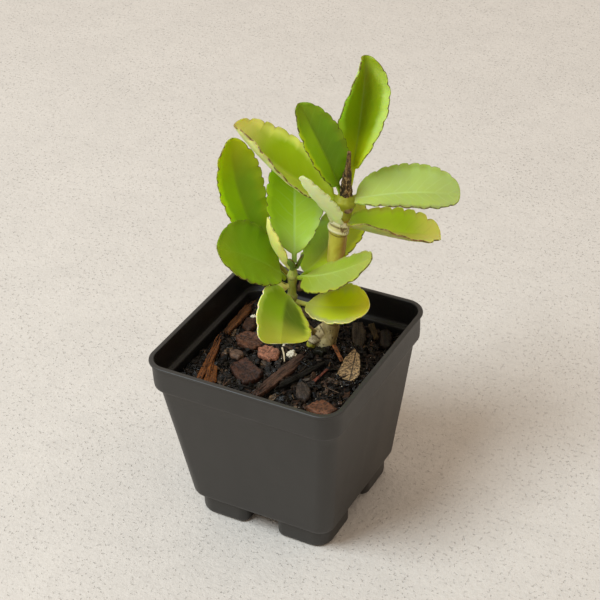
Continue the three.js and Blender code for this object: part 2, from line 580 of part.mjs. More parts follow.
// A round stem through rings of points, thicker by extra.
function stem(path, sides, extra) {
  const points = path.map(({ at }) => new THREE.Vector3(...at));
  const rings = points.map((point, i) => {
    const before = points[Math.max(i - 1, 0)];
    const after = points[Math.min(i + 1, points.length - 1)];
    const along = after.clone().sub(before).normalize();
    const across = new THREE.Vector3(0, 1, 0).cross(along).normalize();
    const up = along.clone().cross(across);
    const end = i === 0 ? -extra : i === points.length - 1 ? extra : 0;
    const radius = path[i].r + extra;
    return Array.from({ length: sides }, (_, j) => {
      const angle = (2 * Math.PI * j) / sides;
      return point
        .clone()
        .addScaledVector(along, end)
        .addScaledVector(across, radius * Math.cos(angle))
        .addScaledVector(up, radius * Math.sin(angle));
    });
  });
  return solidOf(loft(rings));
}

// ---------------------------------------------------------------- leaves

// Directions of a leaf at a share s of the way from stalk to tip: along it, across to its left and
// off its face.
function directionsAt(leaf, s) {
  const heading = radians(leaf.heading + leaf.turn * s);
  const rise = radians(leaf.rise + leaf.bend * s);
  const along = new THREE.Vector3(
    Math.cos(rise) * Math.cos(heading),
    Math.cos(rise) * Math.sin(heading),
    Math.sin(rise),
  );
  const across = new THREE.Vector3(-Math.sin(heading), Math.cos(heading), 0);
  across.applyAxisAngle(along, radians(leaf.roll + leaf.twist * s));
  return { along, across, off: along.clone().cross(across) };
}

function midribAt(leaf, s) {
  const steps = 24;
  const point = new THREE.Vector3(...leaf.at);
  for (let i = 0; i < steps; i++) {
    const { along } = directionsAt(leaf, (s * (i + 0.5)) / steps);
    point.addScaledVector(along, (s * (leaf.stalk + leaf.length)) / steps);
  }
  return point;
}

// Half width of a blade without its scallops at a share t of its length.
function halfWidth({ width, widest, blunt }, t) {
  const base = (blunt * widest) / (1 - widest);
  return (width / 2) * (t / widest) ** base * ((1 - t) / (1 - widest)) ** blunt;
}

// Places along a leaf with the half width and the thickness there.
function stationsOf(leaf) {
  const total = leaf.stalk + leaf.length;
  const along = (t) => (leaf.stalk + t * leaf.length) / total;
  const wide = (t) => Math.max(halfWidth(leaf, t), STALK_HALF * (1 - t));
  const stations = [
    { s: 0, half: STALK_HALF, thick: STALK_THICKNESS },
    { s: along(0) / 2, half: STALK_HALF, thick: STALK_THICKNESS },
    { s: along(0), half: STALK_HALF, thick: STALK_THICKNESS },
    { s: along(0.03), half: Math.max(wide(0.03) * 0.8, STALK_HALF), thick: STALK_THICKNESS * 0.9 },
  ];
  const lobe = (1 - ENTIRE_BASE) / leaf.lobes;
  for (let i = 0; i < leaf.lobes; i++) {
    for (const [share, cut] of SCALLOP) {
      const t = ENTIRE_BASE + lobe * (i + share);
      const depth = SCALLOP_DEPTH * cut * Math.min(1, leaf.width / 20);
      stations.push({ s: along(t), half: Math.max(wide(t) - depth, 0.8), thick: BLADE_THICKNESS });
    }
  }
  stations.push({ s: 1, half: 0.5, thick: MARGIN_THICKNESS });
  return stations;
}

// Points across a leaf at one station: the underside from right to left, then the face back again.
function sectionOf(leaf, { s, half, thick }) {
  const { across, off } = directionsAt(leaf, s);
  const middle = midribAt(leaf, s);
  const keel = Math.min(1, half / KEEL_WIDTH);
  const [left, right] = leaf.fold.map((angle) => radians(angle) * keel);
  const pointAt = (v, side) => {
    const fold = v > 0 ? left : -right;
    const share = Math.abs(v);
    const outward = across.clone().applyAxisAngle(directionsAt(leaf, s).along, fold);
    const normal = off.clone().applyAxisAngle(directionsAt(leaf, s).along, v === 0 ? 0 : fold);
    const sag = CUP * keel * half * share * (1 - share);
    const edge = Math.min(MARGIN_THICKNESS, thick);
    const crease = v === 0 ? Math.cos((left + right) / 2) : 1;
    const local = THREE.MathUtils.lerp(thick, edge, share ** 2) / crease;
    return middle
      .clone()
      .addScaledVector(outward, half * v)
      .addScaledVector(normal, (side * local) / 2 - sag);
  };
  const columns = [-1, -0.5, 0, 0.5, 1];
  return [...columns.map((v) => pointAt(v, -1)), ...columns.toReversed().map((v) => pointAt(v, 1))];
}

// A leaf, whose faces are both split into triangles the same way.
function makeLeaf(leaf) {
  const rings = stationsOf(leaf).map((station) => sectionOf(leaf, station));
  return solidOf(loft(rings, (side) => side > rings[0].length / 2 - 1));
}

// ---------------------------------------------------------------- the whole plant

// A named piece of one colour.
function piece(name, tone, geometry) {
  const material = new THREE.MeshStandardMaterial({
    color: COLOURS[tone],
    roughness: ROUGHNESS[tone] ?? PLAIN_ROUGHNESS,
    metalness: 0,
  });
  const mesh = new THREE.Mesh(geometry, material);
  mesh.name = name;
  return mesh;
}

const mainStem = (extra) => stem(MAIN_STEM, STEM_SIDES, extra).add(stem(BASE_BUD, STEM_SIDES, extra));
const stemRoom = mainStem(GAP).add(stem(DRIED_TIP, STEM_SIDES, GAP));
const shootRoom = stem(SIDE_SHOOT, STEM_SIDES, GAP);
const rootRoom = stem(ROOT, ROOT_SIDES, GAP);

function makeContainer() {
  const rooms = [stemRoom, shootRoom, rootRoom, ...BARK.map(socket), ...PERLITE.map(grainSocket)];
  const container = new THREE.Group();
  container.add(piece("pot", "pot", geometryOf(makePot())));
  container.add(piece("potting_mix", "mix", geometryOf(makeMix(rooms))));
  return container;
}

function makePlant() {
  const shoot = mainBody(stem(SIDE_SHOOT, STEM_SIDES, 0).subtract(stemRoom));
  const bract = mainBody(stem(BRACT, ROOT_SIDES, 0).subtract(shootRoom));
  const plant = new THREE.Group();
  plant.add(piece("main_stem", "stem", geometryOf(mainStem(0))));
  plant.add(piece("dried_stem_tip", "dried", geometryOf(stem(DRIED_TIP, STEM_SIDES, 0))));
  plant.add(piece("side_shoot", "shoot", geometryOf(shoot)));
  plant.add(piece("withered_bract", "bract", geometryOf(bract)));
  for (const leaf of [...LEAVES, ...YOUNG_LEAVES]) {
    const blade = mainBody(makeLeaf(leaf).subtract(stemRoom).subtract(shootRoom));
    plant.add(piece(leaf.name, leaf.tone, geometryOf(blade)));
  }
  return plant;
}

// The loose pieces, each shaped round its own middle and then laid on the mix.
function makeLitter() {
  const litter = new THREE.Group();
  litter.add(piece("pale_root", "root", geometryOf(stem(ROOT, ROOT_SIDES, 0))));
  for (const bark of BARK) {
    litter.add(piece(bark.name, bark.tone, chip(bark)));
    litter.children.at(-1).applyMatrix4(placementOf(bark));
  }
  for (const perlite of PERLITE) {
    litter.add(piece(perlite.name, "perlite", grain(perlite.radius)));
    litter.children.at(-1).applyMatrix4(placementOf(perlite));
  }
  return litter;
}

const part = new THREE.Group();
part.name = "potted_kalanchoe";
part.position.set(...MIDDLE).negate();
part.add(makeContainer(), makePlant(), makeLitter());

export default part;
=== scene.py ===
"""A potted kalanchoe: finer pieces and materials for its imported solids, and the stage it is shown on.

Sizes are in millimetres measured from the middle of the pot, as in the part's source, until a mesh is
made: shifted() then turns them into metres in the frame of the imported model.
"""
import math
import random

import bmesh
import bpy
import numpy as np
from bpy.props import FloatProperty, FloatVectorProperty, IntProperty, PointerProperty
from bpy.types import Operator, Panel, PropertyGroup
from mathutils import Matrix, Vector, noise
from mathutils.geometry import delaunay_2d_cdt


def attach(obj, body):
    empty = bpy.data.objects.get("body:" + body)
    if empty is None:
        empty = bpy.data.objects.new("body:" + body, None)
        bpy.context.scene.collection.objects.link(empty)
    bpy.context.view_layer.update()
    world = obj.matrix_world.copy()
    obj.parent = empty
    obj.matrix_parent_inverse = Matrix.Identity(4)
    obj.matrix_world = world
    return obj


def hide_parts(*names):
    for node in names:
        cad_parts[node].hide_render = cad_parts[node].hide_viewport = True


bl_info = {
    "name": "Potted kalanchoe",
    "version": (1, 0, 0),
    "blender": (4, 5, 0),
    "location": "3D View > Sidebar > Kalanchoe",
    "description": "Fleshy scalloped leaves, woody stem, bark mix and square nursery pot",
    "category": "Add Mesh",
}

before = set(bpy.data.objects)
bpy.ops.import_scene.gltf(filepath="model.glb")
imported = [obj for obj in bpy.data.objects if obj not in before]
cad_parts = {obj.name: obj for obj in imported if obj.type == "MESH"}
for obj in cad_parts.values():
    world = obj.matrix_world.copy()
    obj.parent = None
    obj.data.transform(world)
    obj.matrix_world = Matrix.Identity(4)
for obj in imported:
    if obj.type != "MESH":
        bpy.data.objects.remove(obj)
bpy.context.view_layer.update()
BODY = "root"

# ------------------------------------------------------------------ sizes, as in the part's source

GROUND = -1.8  # the level that the feet stand on
MIDDLE = np.array((7.7, 4.0, GROUND))  # of the plant's width and depth, from the axis of the pot
AXIS = tuple(float(-x) / 1000 for x in MIDDLE[:2]) + (0.0,)  # of the pot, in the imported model
POT_HEIGHT = 93.2
RIM_HALF = 50.8
RIM_RADIUS = 11.0
LIP_THICKNESS = 1.4
LIP_OVERHANG = 1.2
BAND_BOTTOM = 77.5
SHOULDER_HALF = 46.9
BODY_BOTTOM = 9.0
BODY_BOTTOM_HALF = 38.2
BODY_RADIUS = 7.8
WALL = 1.3
FLOOR = 1.5
BODY_EDGE = 2.4  # how far the round lower edge of the body draws in
BODY_EDGE_HEIGHT = 3.0
FOOT_HALF = 35.6
FOOT_DRAFT = 0.02
FOOT_RADIUS = 8.6
CHANNEL_HALF = 8.0
CHANNEL_RADIUS = 4.6
DRAIN_RADIUS = 2.0
DRAIN_OUT = 23.0
FEET = ((1, 1), (-1, 1), (-1, -1), (1, -1))

SOIL_EDGE = 73.6
SOIL_MOUND = 3.9
SOIL_CENTRE = (4.0, 12.0)
SOIL_SPREAD = 24.0
GAP = 0.35

STALK_HALF = 1.2
STALK_THICKNESS = 2.2
BLADE_THICKNESS = 1.5
MARGIN_THICKNESS = 0.75
SCALLOP_DEPTH = 0.8
ENTIRE_BASE = 0.12
CUP = 0.25
KEEL_WIDTH = 5.0

# Stems: centre and radius, from the root end up.
MAIN_STEM = [
    (5.5, 18.3, 62.2, 3.6),
    (7.4, 19.4, 73.4, 4.6),
    (9.2, 20.4, 79.5, 5.2),
    (11, 21.4, 85.6, 4.6),
    (11.8, 21.8, 90.7, 4.2),
    (13.4, 22.8, 115.2, 4.1),
    (15.4, 23.9, 137.7, 4.3),
    (15.9, 24.1, 142.6, 4.9),
    (16.4, 24.3, 145.8, 4.3),
    (17, 24.7, 148.9, 3.8),
    (17.9, 25.3, 152.4, 4.1),
    (18.5, 25.6, 155.4, 4.9),
    (18.8, 25.8, 157.2, 5),
    (18.9, 25.9, 158, 4.2),
]
DRIED_TIP = [
    (18.9, 26, 158.4, 2.2),
    (19.1, 26.1, 160.1, 2.9),
    (19.3, 26.2, 164.1, 2.5),
    (19.8, 26.5, 170.3, 1.9),
    (20.3, 26.7, 175.4, 1.1),
    (20.8, 27, 182, 0.8),
]
BASE_BUD = [
    (9.8, 20.8, 86.1, 3),
    (6.6, 17.5, 83.9, 3.1),
    (5.1, 15.5, 81.2, 2.7),
    (4.3, 14, 78.4, 2.2),
    (4.5, 13.3, 76, 1.4),
]
LEAF_SCAR = (22.4, 23.4, 153.5)  # its middle
LEAF_SCAR_HALF = (0.0028, 0.0028, 0.0016)  # in metres
LEAF_STUB = [
    (16.2, 23.9, 144.6, 2.6),
    (15, 22.4, 147.8, 2.5),
    (13.9, 21.6, 150.8, 2.2),
    (13, 21, 153, 1.9),
]
SIDE_SHOOT = [
    (6.6, 17.9, 83.2, 1.6),
    (4.5, 14.4, 86.9, 1.7),
    (3.1, 10.2, 94.2, 1.7),
    (2, 7.2, 102.4, 1.8),
    (0.1, 5.7, 109.2, 2.1),
    (0, 5.5, 111.2, 2.5),
    (0.1, 5.5, 113.3, 2),
    (0.6, 5.3, 118.9, 2),
    (1.1, 5.2, 123, 2.5),
    (1.4, 5.2, 126, 1.8),
    (2, 5.5, 129.1, 1.2),
]

ROOT = [
    (-7, 5.9, 78.8, 0.6),
    (-3.6, 1.4, 79, 0.55),
    (-0.9, -3, 78.7, 0.45),
]

BRACT = [
    (3.9, 4.8, 115.9, 0.6),
    (4.9, 5.4, 117.1, 1.5),
    (5.2, 5.8, 119.2, 1.3),
    (4.8, 5.6, 120.8, 0.5),
]

# Leaves. at: where the stalk leaves the stem. heading: degrees round from +X, rise: degrees above level,
# turn and bend: how far these two change by the tip. roll: of the blade about its midrib, twist: its
# change by the tip. fold: how far the left and right halves are raised. widest: place of the widest
# point along the blade. blunt: small for a round tip. lobes: scallops on each margin. ragged: how much
# deeper they are towards the tip. sheath: half the width of the stalk where it clasps the stem.
LEAF_TRAITS = (
    "name", "tone", "at", "heading", "rise", "turn", "bend", "roll", "twist", "stalk", "length", "width",
    "fold", "widest", "blunt", "lobes", "ragged", "sheath",
)
LEAVES = [dict(zip(LEAF_TRAITS, row)) for row in (
    ("leaf_top", "deep", (18.7, 28.3, 157.7), 93, 55, 10, 19, -3, 45, 13, 52, 35, (56, 58), 0.49, 0.57, 8,
     1, 1.2),
    ("leaf_upper_left", "deep", (16.7, 27.2, 156.7), 235, 75, -66, -15, -40, 56, 8.5, 43.5, 24.5, (0, 61),
     0.5, 0.53, 8, 1, 1.2),
    ("leaf_left", "lime", (16.2, 24.6, 155.7), 196, 24, 18, 34, -32, 21, 3, 59, 34.5, (42, 23), 0.54, 0.52,
     8, 1.9, 3),
    ("leaf_front", "pale", (17.6, 21.2, 147.6), -81, 47, -26, 12, -9, 15, 5, 44, 15, (9, 12), 0.49, 0.59, 6,
     2.1, 2.6),
    ("leaf_right", "fresh", (21.2, 27.3, 156.6), 31, 11, -7, -19, 10, 19, 2.5, 47.5, 29.5, (23, 25), 0.48,
     0.46, 9, 1, 3),
    ("leaf_lower_right", "lime", (19.3, 24.1, 146), 41, -28, -2, 23, 0, 32, 2, 46, 27.5, (19, 44), 0.49,
     0.45, 7, 2.3, 3.2),
    ("leaf_behind_stem", "olive", (3.5, 7.6, 120.8), 74, 12, 26, 13, -7, -1, 4.5, 50, 28, (2, 4), 0.5, 0.52,
     8, 1, 1.2),
    ("leaf_shoot_left", "fresh", (-1, 7, 120.9), 185, 38, -17, 59, -14, -4, 8.5, 67, 26.5, (24, 25), 0.64,
     0.52, 10, 1.2, 1.2),
    ("leaf_shoot_top", "fresh", (1.2, 7.1, 129.1), 115, 60, -3, 0, 9, 2, 4, 49, 28.5, (19, 15), 0.56, 0.51,
     8, 1, 1.2),
    ("leaf_round_left", "deep", (-1.9, 3, 122), 233, 54, -2, -31, -19, -19, 3.5, 38, 34.5, (13, 18), 0.54,
     0.5, 8, 1, 1.2),
    ("leaf_sliver", "pale", (0.1, 5.1, 127.1), 224, 57, -25, 30, 37, -19, 3.5, 26.5, 11, (17, 8), 0.46, 0.5,
     4, 1, 1.2),
    ("leaf_shoot_right", "fresh", (4.1, 5.2, 122.9), -6, 18, 19, 19, 4, 0, 4, 38.5, 29, (-2, -3), 0.46,
     0.49, 7, 1, 1.2),
    ("leaf_low_right", "olive", (3, 4.6, 109.5), -1, -3, 21, 22, 0, 15, 5.5, 31, 28.5, (13, 14), 0.51, 0.51,
     6, 1, 1.2),
    ("leaf_low_front", "olive", (1, 2.5, 110.6), -71, 55, 3, -113, -38, -2, 4, 35.5, 33, (1, 15), 0.76,
     0.25, 6, 1, 1.2),
    ("leaf_small", "pale", (0, 4, 117.9), 191, -11, -6, -1, 57, 21, 1, 6.5, 8, (22, 8), 0.5, 0.5, 2, 1, 1.2),
    ("leaf_young_right", "young", (3.2, 5.6, 128.1), 10, 70, 0, -8, -3, 0, 1, 7.5, 4.5, (34, 36), 0.5, 0.6,
     1, 1, 1.2),
    ("leaf_young_left", "young", (2.2, 3.4, 128.1), 280, 74, 0, -8, -1, 0, 1, 6.5, 4, (35, 36), 0.5, 0.6, 1,
     1, 1.2),
)]

# Loose pieces on the mix. centre: x, y. turn: degrees. tip: degrees about X and Y. lift: how far the
# middle stands above the mix. outline: corners round the middle, before turning.
BARK_TRAITS = ("name", "tone", "shade", "centre", "turn", "tip", "lift", "thick", "outline")
BARK = [dict(zip(BARK_TRAITS, row)) for row in (
    ("bark_long_orange", "orange", "5a3314", (-35.8, -16.4), 100, (0, -6), 1.6, 2.6,
     ((-17.5, -1.2), (-6, -2.2), (8, -2), (17.5, -0.6), (16, 1), (3, 2.1), (-11, 1.7))),
    ("bark_orange_wedge", "orange", "5a3107", (-27.6, -26.8), 2, (8, 12), 1.5, 2.4,
     ((2, -9.5), (5, -8), (2.5, 1), (-1.5, 8.5), (-5, 9), (-5, 5), (-2, -5.5))),
    ("bark_red_square", "red", "311b10", (-14.8, -15.9), 2, (10, -4), 1.6, 4.2,
     ((-2.5, -6), (3.5, -9), (9, -2.5), (8.5, 1.5), (2.5, 4.5), (-3.5, 8), (-8.5, 3.5), (-8, -1))),
    ("bark_grey_chip", "grey", "564235", (-26, -6), 2, (-6, 4), 1.6, 2.8,
     ((-1, -4), (3, -3.5), (4.5, 0.5), (1.5, 3.5), (-4.5, 1))),
    ("bark_red_upper", "red", "462b1b", (-25.5, 6.4), 2, (6, 3), 1.8, 3.8,
     ((-4, -5.5), (5, -6), (8, -0.5), (7, 3.5), (1.5, 6.5), (-5, 4.5), (-8, 0))),
    ("bark_salmon", "salmon", "7a513e", (-11.2, -0.5), 2, (5, 0), 2.2, 3.4,
     ((-3.5, -4), (3, -4.6), (6.2, -1), (5, 3.2), (1.5, 4.6), (-4, 4.2), (-6, 1.5), (-5.5, -1.5))),
    ("bark_red_left", "red", "352013", (-32.4, 18.2), 2, (4, -8), 1.8, 3.4,
     ((2.5, -6), (4, -0.5), (1, 6), (-4, 4.6), (-3, -2))),
    ("bark_brown_slab", "brown", "4c2c10", (-40.5, 21.2), 94, (-10, 0), 1.8, 2.6,
     ((-14, -1.5), (-3, -3), (9, -3), (14, -1), (12, 2), (-2, 3), (-12, 2))),
    ("bark_long_dark", "brown", "463126", (1.6, -12.9), 82, (4, 0), 1.7, 3.4,
     ((-19.5, -1.5), (-7, -3.2), (9, -3.4), (19, -1.6), (18, 1.5), (5, 2.6), (-9, 2.4), (-18, 0.8))),
    ("bark_long_black", "black", "0c0a05", (11.2, -7.9), 68, (-5, 0), 1.3, 2.4,
     ((-15, -1.3), (0, -2), (14, -1.2), (15, 0.8), (1, 1.8), (-13, 1.4))),
    ("bark_grey_round", "grey", "332a23", (17.9, -18.8), 2, (9, 0), 1.8, 3.2,
     ((-1.5, -4.5), (3.5, -5.6), (4.5, -3), (3.5, 1.5), (1, 4), (-3.6, 5.4), (-5, 3.4), (-4, -0.5))),
    ("stick_red", "salmon", "562c20", (19.2, -4.6), 78, (0, -8), 1.9, 1.4,
     ((-5.5, -0.9), (5.5, -0.7), (5.5, 0.7), (-5.5, 0.9))),
    ("twig_orange", "orange", "7a4c2a", (19.7, 12.8), -44, (0, 7), 2.2, 1.8,
     ((-6, -1.1), (6, -0.9), (6, 0.9), (-6, 1.1))),
    ("bark_grey_right", "black", "322a1e", (20, 33.1), 2, (10, 0), 1.8, 3,
     ((0, -6.5), (3, -9), (6, -8), (5.5, -2), (3, 4), (-1, 8.5), (-5.5, 6.5), (-3.5, 0))),
    ("bark_purple_right", "black", "191007", (34.3, 36.1), 2, (8, 8), 1.6, 3.4,
     ((-1, -6), (3, -6), (4.5, -3), (0.5, 5.5), (-4, 5.5), (-5, 3))),
    ("bark_back_grey", "grey", "3a2d0e", (-13.2, 39.5), 22, (14, 0), 2, 3.2,
     ((-7, -2.5), (4, -4), (7.5, 0), (3, 3.4), (-5, 3))),
    ("bark_red_corner", "red", "553522", (31.2, -25.7), 2, (9, 5), 2, 4,
     ((-3.5, -5), (5, -4.5), (7, 2), (2.5, 4.5), (-2, 5.2), (-4.5, 3.5), (-7, -2.5))),
    ("bark_front_chip", "brown", "4f3a2c", (8.7, -34.2), 14, (6, 0), 1.6, 2.8,
     ((-3.5, -2.5), (2.5, -3), (3.8, 1), (0.5, 3.2), (-3.2, 2))),
    ("charcoal", "black", "151508", (11, 11), 20, (0, 10), 1.6, 4,
     ((-3.2, -2.2), (1.4, -2.8), (3.4, -0.5), (1.8, 2.2), (-2.6, 2))),
    ("twig_stub", "twig", "3c3018", (26.1, 38.5), -48, (0, 14), 2.2, 2.8,
     ((-5.5, -1.6), (5, -1.4), (5, 1.4), (-5.5, 1.6))),
    ("dry_leaf", "straw", "806a4c", (30.1, 7.9), 2, (16, -4), 3.4, 0.9,
     ((-1.5, -9), (4.5, -9.5), (5.5, -5), (3, 2), (0.5, 7), (-3, 9.5), (-5.5, 3.5), (-5, -7))),
)]
PERLITE = [
    dict(name="perlite_1", centre=(-0.5, 3.1), radius=2.3, lift=0.9),
    dict(name="perlite_2", centre=(-7.7, 9.4), radius=1.1, lift=0.4),
    dict(name="perlite_3", centre=(-35.2, 27.6), radius=1.6, lift=0.6),
    dict(name="perlite_4", centre=(31.5, -5), radius=1, lift=0.4),
]

# ------------------------------------------------------------------ making meshes


def shifted(points):
    """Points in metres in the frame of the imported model."""
    return (np.asarray(points, float) - MIDDLE) * 0.001


def link(name, mesh):
    shape = bpy.data.objects.new(name, mesh)
    bpy.context.scene.collection.objects.link(shape)
    return shape


def make_mesh(name, points, faces, sharp=None, **values):
    """A mesh with its faces turned outwards. values are numbers or triples, one for each point, that
    its material reads. Edges sharper than sharp degrees stay crisp."""
    mesh = bpy.data.meshes.new(name)
    mesh.from_pydata(shifted(points).tolist(), [], [[int(i) for i in face] for face in faces])
    for key, data in values.items():
        numbers = np.asarray(data, np.float32)
        kind, field = ("FLOAT", "value") if numbers.ndim == 1 else ("FLOAT_VECTOR", "vector")
        mesh.attributes.new(key, kind, "POINT").data.foreach_set(field, numbers.ravel())
    turned = bmesh.new()
    turned.from_mesh(mesh)
    bmesh.ops.recalc_face_normals(turned, faces=turned.faces)
    turned.to_mesh(mesh)
    turned.free()
    mesh.shade_smooth()
    if sharp is not None:
        mesh.set_sharp_from_angle(angle=math.radians(sharp))
    return mesh


def settle(shape, slot, material, *nodes):
    """Gives a finished piece its material and its place on the part."""
    shape.data.materials.clear()
    shape.data.materials.append(material)
    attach(shape, BODY)
    if nodes:
        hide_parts(*nodes)
    return shape


def bridge(low, high, count):
    """Faces between two rings of count points, which begin at low and at high."""
    here = np.arange(count)
    after = (here + 1) % count
    return np.stack([low + here, low + after, high + after, high + here], 1).tolist()


def join_rings(rings):
    """Points and faces of a closed surface through rings of equally many points."""
    count, sides = len(rings), len(rings[0])
    points = np.concatenate([*rings, [np.mean(rings[0], 0)], [np.mean(rings[-1], 0)]])
    here = np.arange(sides)
    after = (here + 1) % sides
    faces = []
    for i in range(count - 1):
        faces += bridge(i * sides, (i + 1) * sides, sides)
    first, last, top = count * sides, count * sides + 1, (count - 1) * sides
    faces += [[first, b, a] for a, b in zip(here, after)]
    faces += [[last, top + a, top + b] for a, b in zip(here, after)]
    return points, faces


def gather(parts):
    """Many (points, faces) joined into one."""
    points, faces, base = [], [], 0
    for some, around in parts:
        points.append(some)
        faces += [[base + i for i in face] for face in around]
        base += len(some)
    return np.concatenate(points), faces


def roughness_at(points, scale, seed=0.0, octaves=3):
    """Smooth noise from -1 to 1 at each point. scale is the size of its lumps in millimetres."""
    places = np.asarray(points, float) / scale + seed
    return np.array([noise.fractal(Vector(p), 0.9, 2.1, octaves) for p in places])


def ease(low, high, value):
    share = np.clip((np.asarray(value, float) - low) / (high - low), 0, 1)
    return share * share * (3 - 2 * share)


def hump(place, middle, spread):
    """1 at its middle, fading to nothing on both sides."""
    return np.exp(-(((place - middle) / spread) ** 2))


# ------------------------------------------------------------------ pot

CORNER_STEPS = 14
SIDE_SHARES = (0.05, 0.18, 0.36, 0.5, 0.64, 0.82, 0.95)
SIDE_WARP = 0.16  # how far the thin walls stand out of true
EDGE_TURNS = (0, 12, 26, 40, 54, 68, 80, 90)  # degrees round the lower edge of the body
SHOULDER_STEP = (  # out from the shoulder, and height
    (0.1, 76.8), (0.35, 77.2), (0.9, 77.6), (1.6, 78), (2.15, 78.5), (2.42, 79.1), (2.5, 79.8),
)
LIP_EDGE = (  # out from the band, and up from the underside of the lip
    (0.12, -0.12), (0.55, 0.02), (0.98, 0.12), (1.16, 0.35), (1.2, 0.75), (1.12, 1.1), (0.9, 1.32),
    (0.55, 1.4), (-0.6, 1.4), (-1.0, 1.33), (-1.22, 1.12), (-1.3, 0.7),
)
INNER_LEDGE = (  # in from the inside of the band, and height
    (0.12, 80), (0.22, 79.4), (0.5, 79), (1, 78.8), (1.8, 78.7), (2.3, 78.55), (2.6, 78.2), (2.72, 77.7),
)
FOOT_EDGE = ((0, 1.8), (0.12, 1.35), (0.45, 0.88), (1, 0.42), (1.7, 0.12), (2.6, 0))  # height, drawn in
DRAIN_SIDES = 24


def rounded_ring(x_span, y_span, radii, z):
    """A rectangle with round corners. radii start at the +X +Y corner and go round by the left."""
    (x0, x1), (y0, y1) = x_span, y_span
    corners = [(x1, y1, -1, -1), (x0, y1, 1, -1), (x0, y0, 1, 1), (x1, y0, -1, 1)]
    arcs = []
    for quarter, (x, y, in_x, in_y) in enumerate(corners):
        r = radii[quarter]
        angle = (quarter + np.arange(CORNER_STEPS + 1) / CORNER_STEPS) * math.pi / 2
        arcs.append(np.stack([x + in_x * r + r * np.cos(angle), y + in_y * r + r * np.sin(angle)], 1))
    ring = []
    for arc, after in zip(arcs, arcs[1:] + arcs[:1]):
        ring.append(arc)
        ring.append([arc[-1] + share * (after[0] - arc[-1]) for share in SIDE_SHARES])
    flat = np.concatenate(ring)
    return np.column_stack([flat, np.full(len(flat), z)])


def square_ring(half, radius, z):
    return rounded_ring((-half, half), (-half, half), [radius] * 4, z)


def body_half(z):
    share = (z - BODY_BOTTOM) / (BAND_BOTTOM - BODY_BOTTOM)
    return BODY_BOTTOM_HALF + share * (SHOULDER_HALF - BODY_BOTTOM_HALF)


def pot_profile():
    """Rings of the pot from the middle of its underside, up the outside, over the lip and down the
    inside: half width, corner radius and height."""
    band, radius, lip = RIM_HALF - LIP_OVERHANG, RIM_RADIUS - LIP_OVERHANG, POT_HEIGHT - LIP_THICKNESS
    inner, floor = band - WALL, BODY_BOTTOM + FLOOR
    rings = []
    for turn in np.radians(EDGE_TURNS):
        z = BODY_BOTTOM + BODY_EDGE_HEIGHT * (1 - math.cos(turn))
        drawn = BODY_EDGE * (1 - math.sin(turn))
        rings.append((body_half(z) - drawn, BODY_RADIUS - drawn, z))
    rings += [(body_half(z), BODY_RADIUS, z) for z in np.linspace(BODY_BOTTOM + 5, 76.2, 14)]
    rings += [(SHOULDER_HALF + out, BODY_RADIUS + 0.8 * out, z) for out, z in SHOULDER_STEP]
    rings += [(band - drawn, radius, z) for drawn, z in ((0.12, 82), (0.05, 87), (0, lip - 0.5))]
    rings += [(band + out, radius + out, lip + up) for out, up in LIP_EDGE]
    rings += [(inner - 0.02, radius - WALL, z) for z in (90, 86, 82)]
    rings += [(inner - into, radius - WALL - 0.8 * into, z) for into, z in INNER_LEDGE]
    rings += [(body_half(z) - WALL, BODY_RADIUS - WALL, z) for z in np.linspace(76.5, 12, 8)]
    rings += [(body_half(floor) - WALL - 0.8, BODY_RADIUS - WALL - 0.8, floor)]
    return rings


def foot_solid(sign_x, sign_y, inset, lift):
    """A foot of the pot, or with inset and lift the hollow inside it."""
    top = BODY_BOTTOM + FLOOR / 2 - GROUND
    rings = []
    for height, drawn in (*FOOT_EDGE, (top, 0)):
        z = GROUND + height + lift
        near, far = CHANNEL_HALF + drawn + inset, FOOT_HALF + FOOT_DRAFT * (height + lift) - drawn - inset
        inner = max(CHANNEL_RADIUS - drawn - inset, 0.6)
        outer = FOOT_RADIUS - drawn - inset
        radii = [outer if (x, y) == (sign_x, sign_y) else inner for x, y in FEET]
        x_span = (near, far) if sign_x > 0 else (-far, -near)
        y_span = (near, far) if sign_y > 0 else (-far, -near)
        rings.append(rounded_ring(x_span, y_span, radii, z))
    return join_rings(rings)


def drain_solid(x, y):
    angle = np.linspace(0, 2 * math.pi, DRAIN_SIDES, endpoint=False)
    ring = np.column_stack([x + DRAIN_RADIUS * np.cos(angle), y + DRAIN_RADIUS * np.sin(angle)])
    return join_rings([np.column_stack([ring, np.full(DRAIN_SIDES, BODY_BOTTOM + up)]) for up in (-3, 4)])


def combine(shape, operation, solids):
    """Joins solids to a mesh, or cuts them out of it."""
    tool = link("tool", make_mesh("tool", *gather(solids)))
    cut = shape.modifiers.new("cut", "BOOLEAN")
    cut.operation, cut.solver, cut.use_self, cut.object = operation, "EXACT", True, tool
    depsgraph = bpy.context.evaluated_depsgraph_get()
    made = bpy.data.meshes.new_from_object(shape.evaluated_get(depsgraph))
    shape.modifiers.clear()
    shape.data = made
    bpy.data.objects.remove(tool)


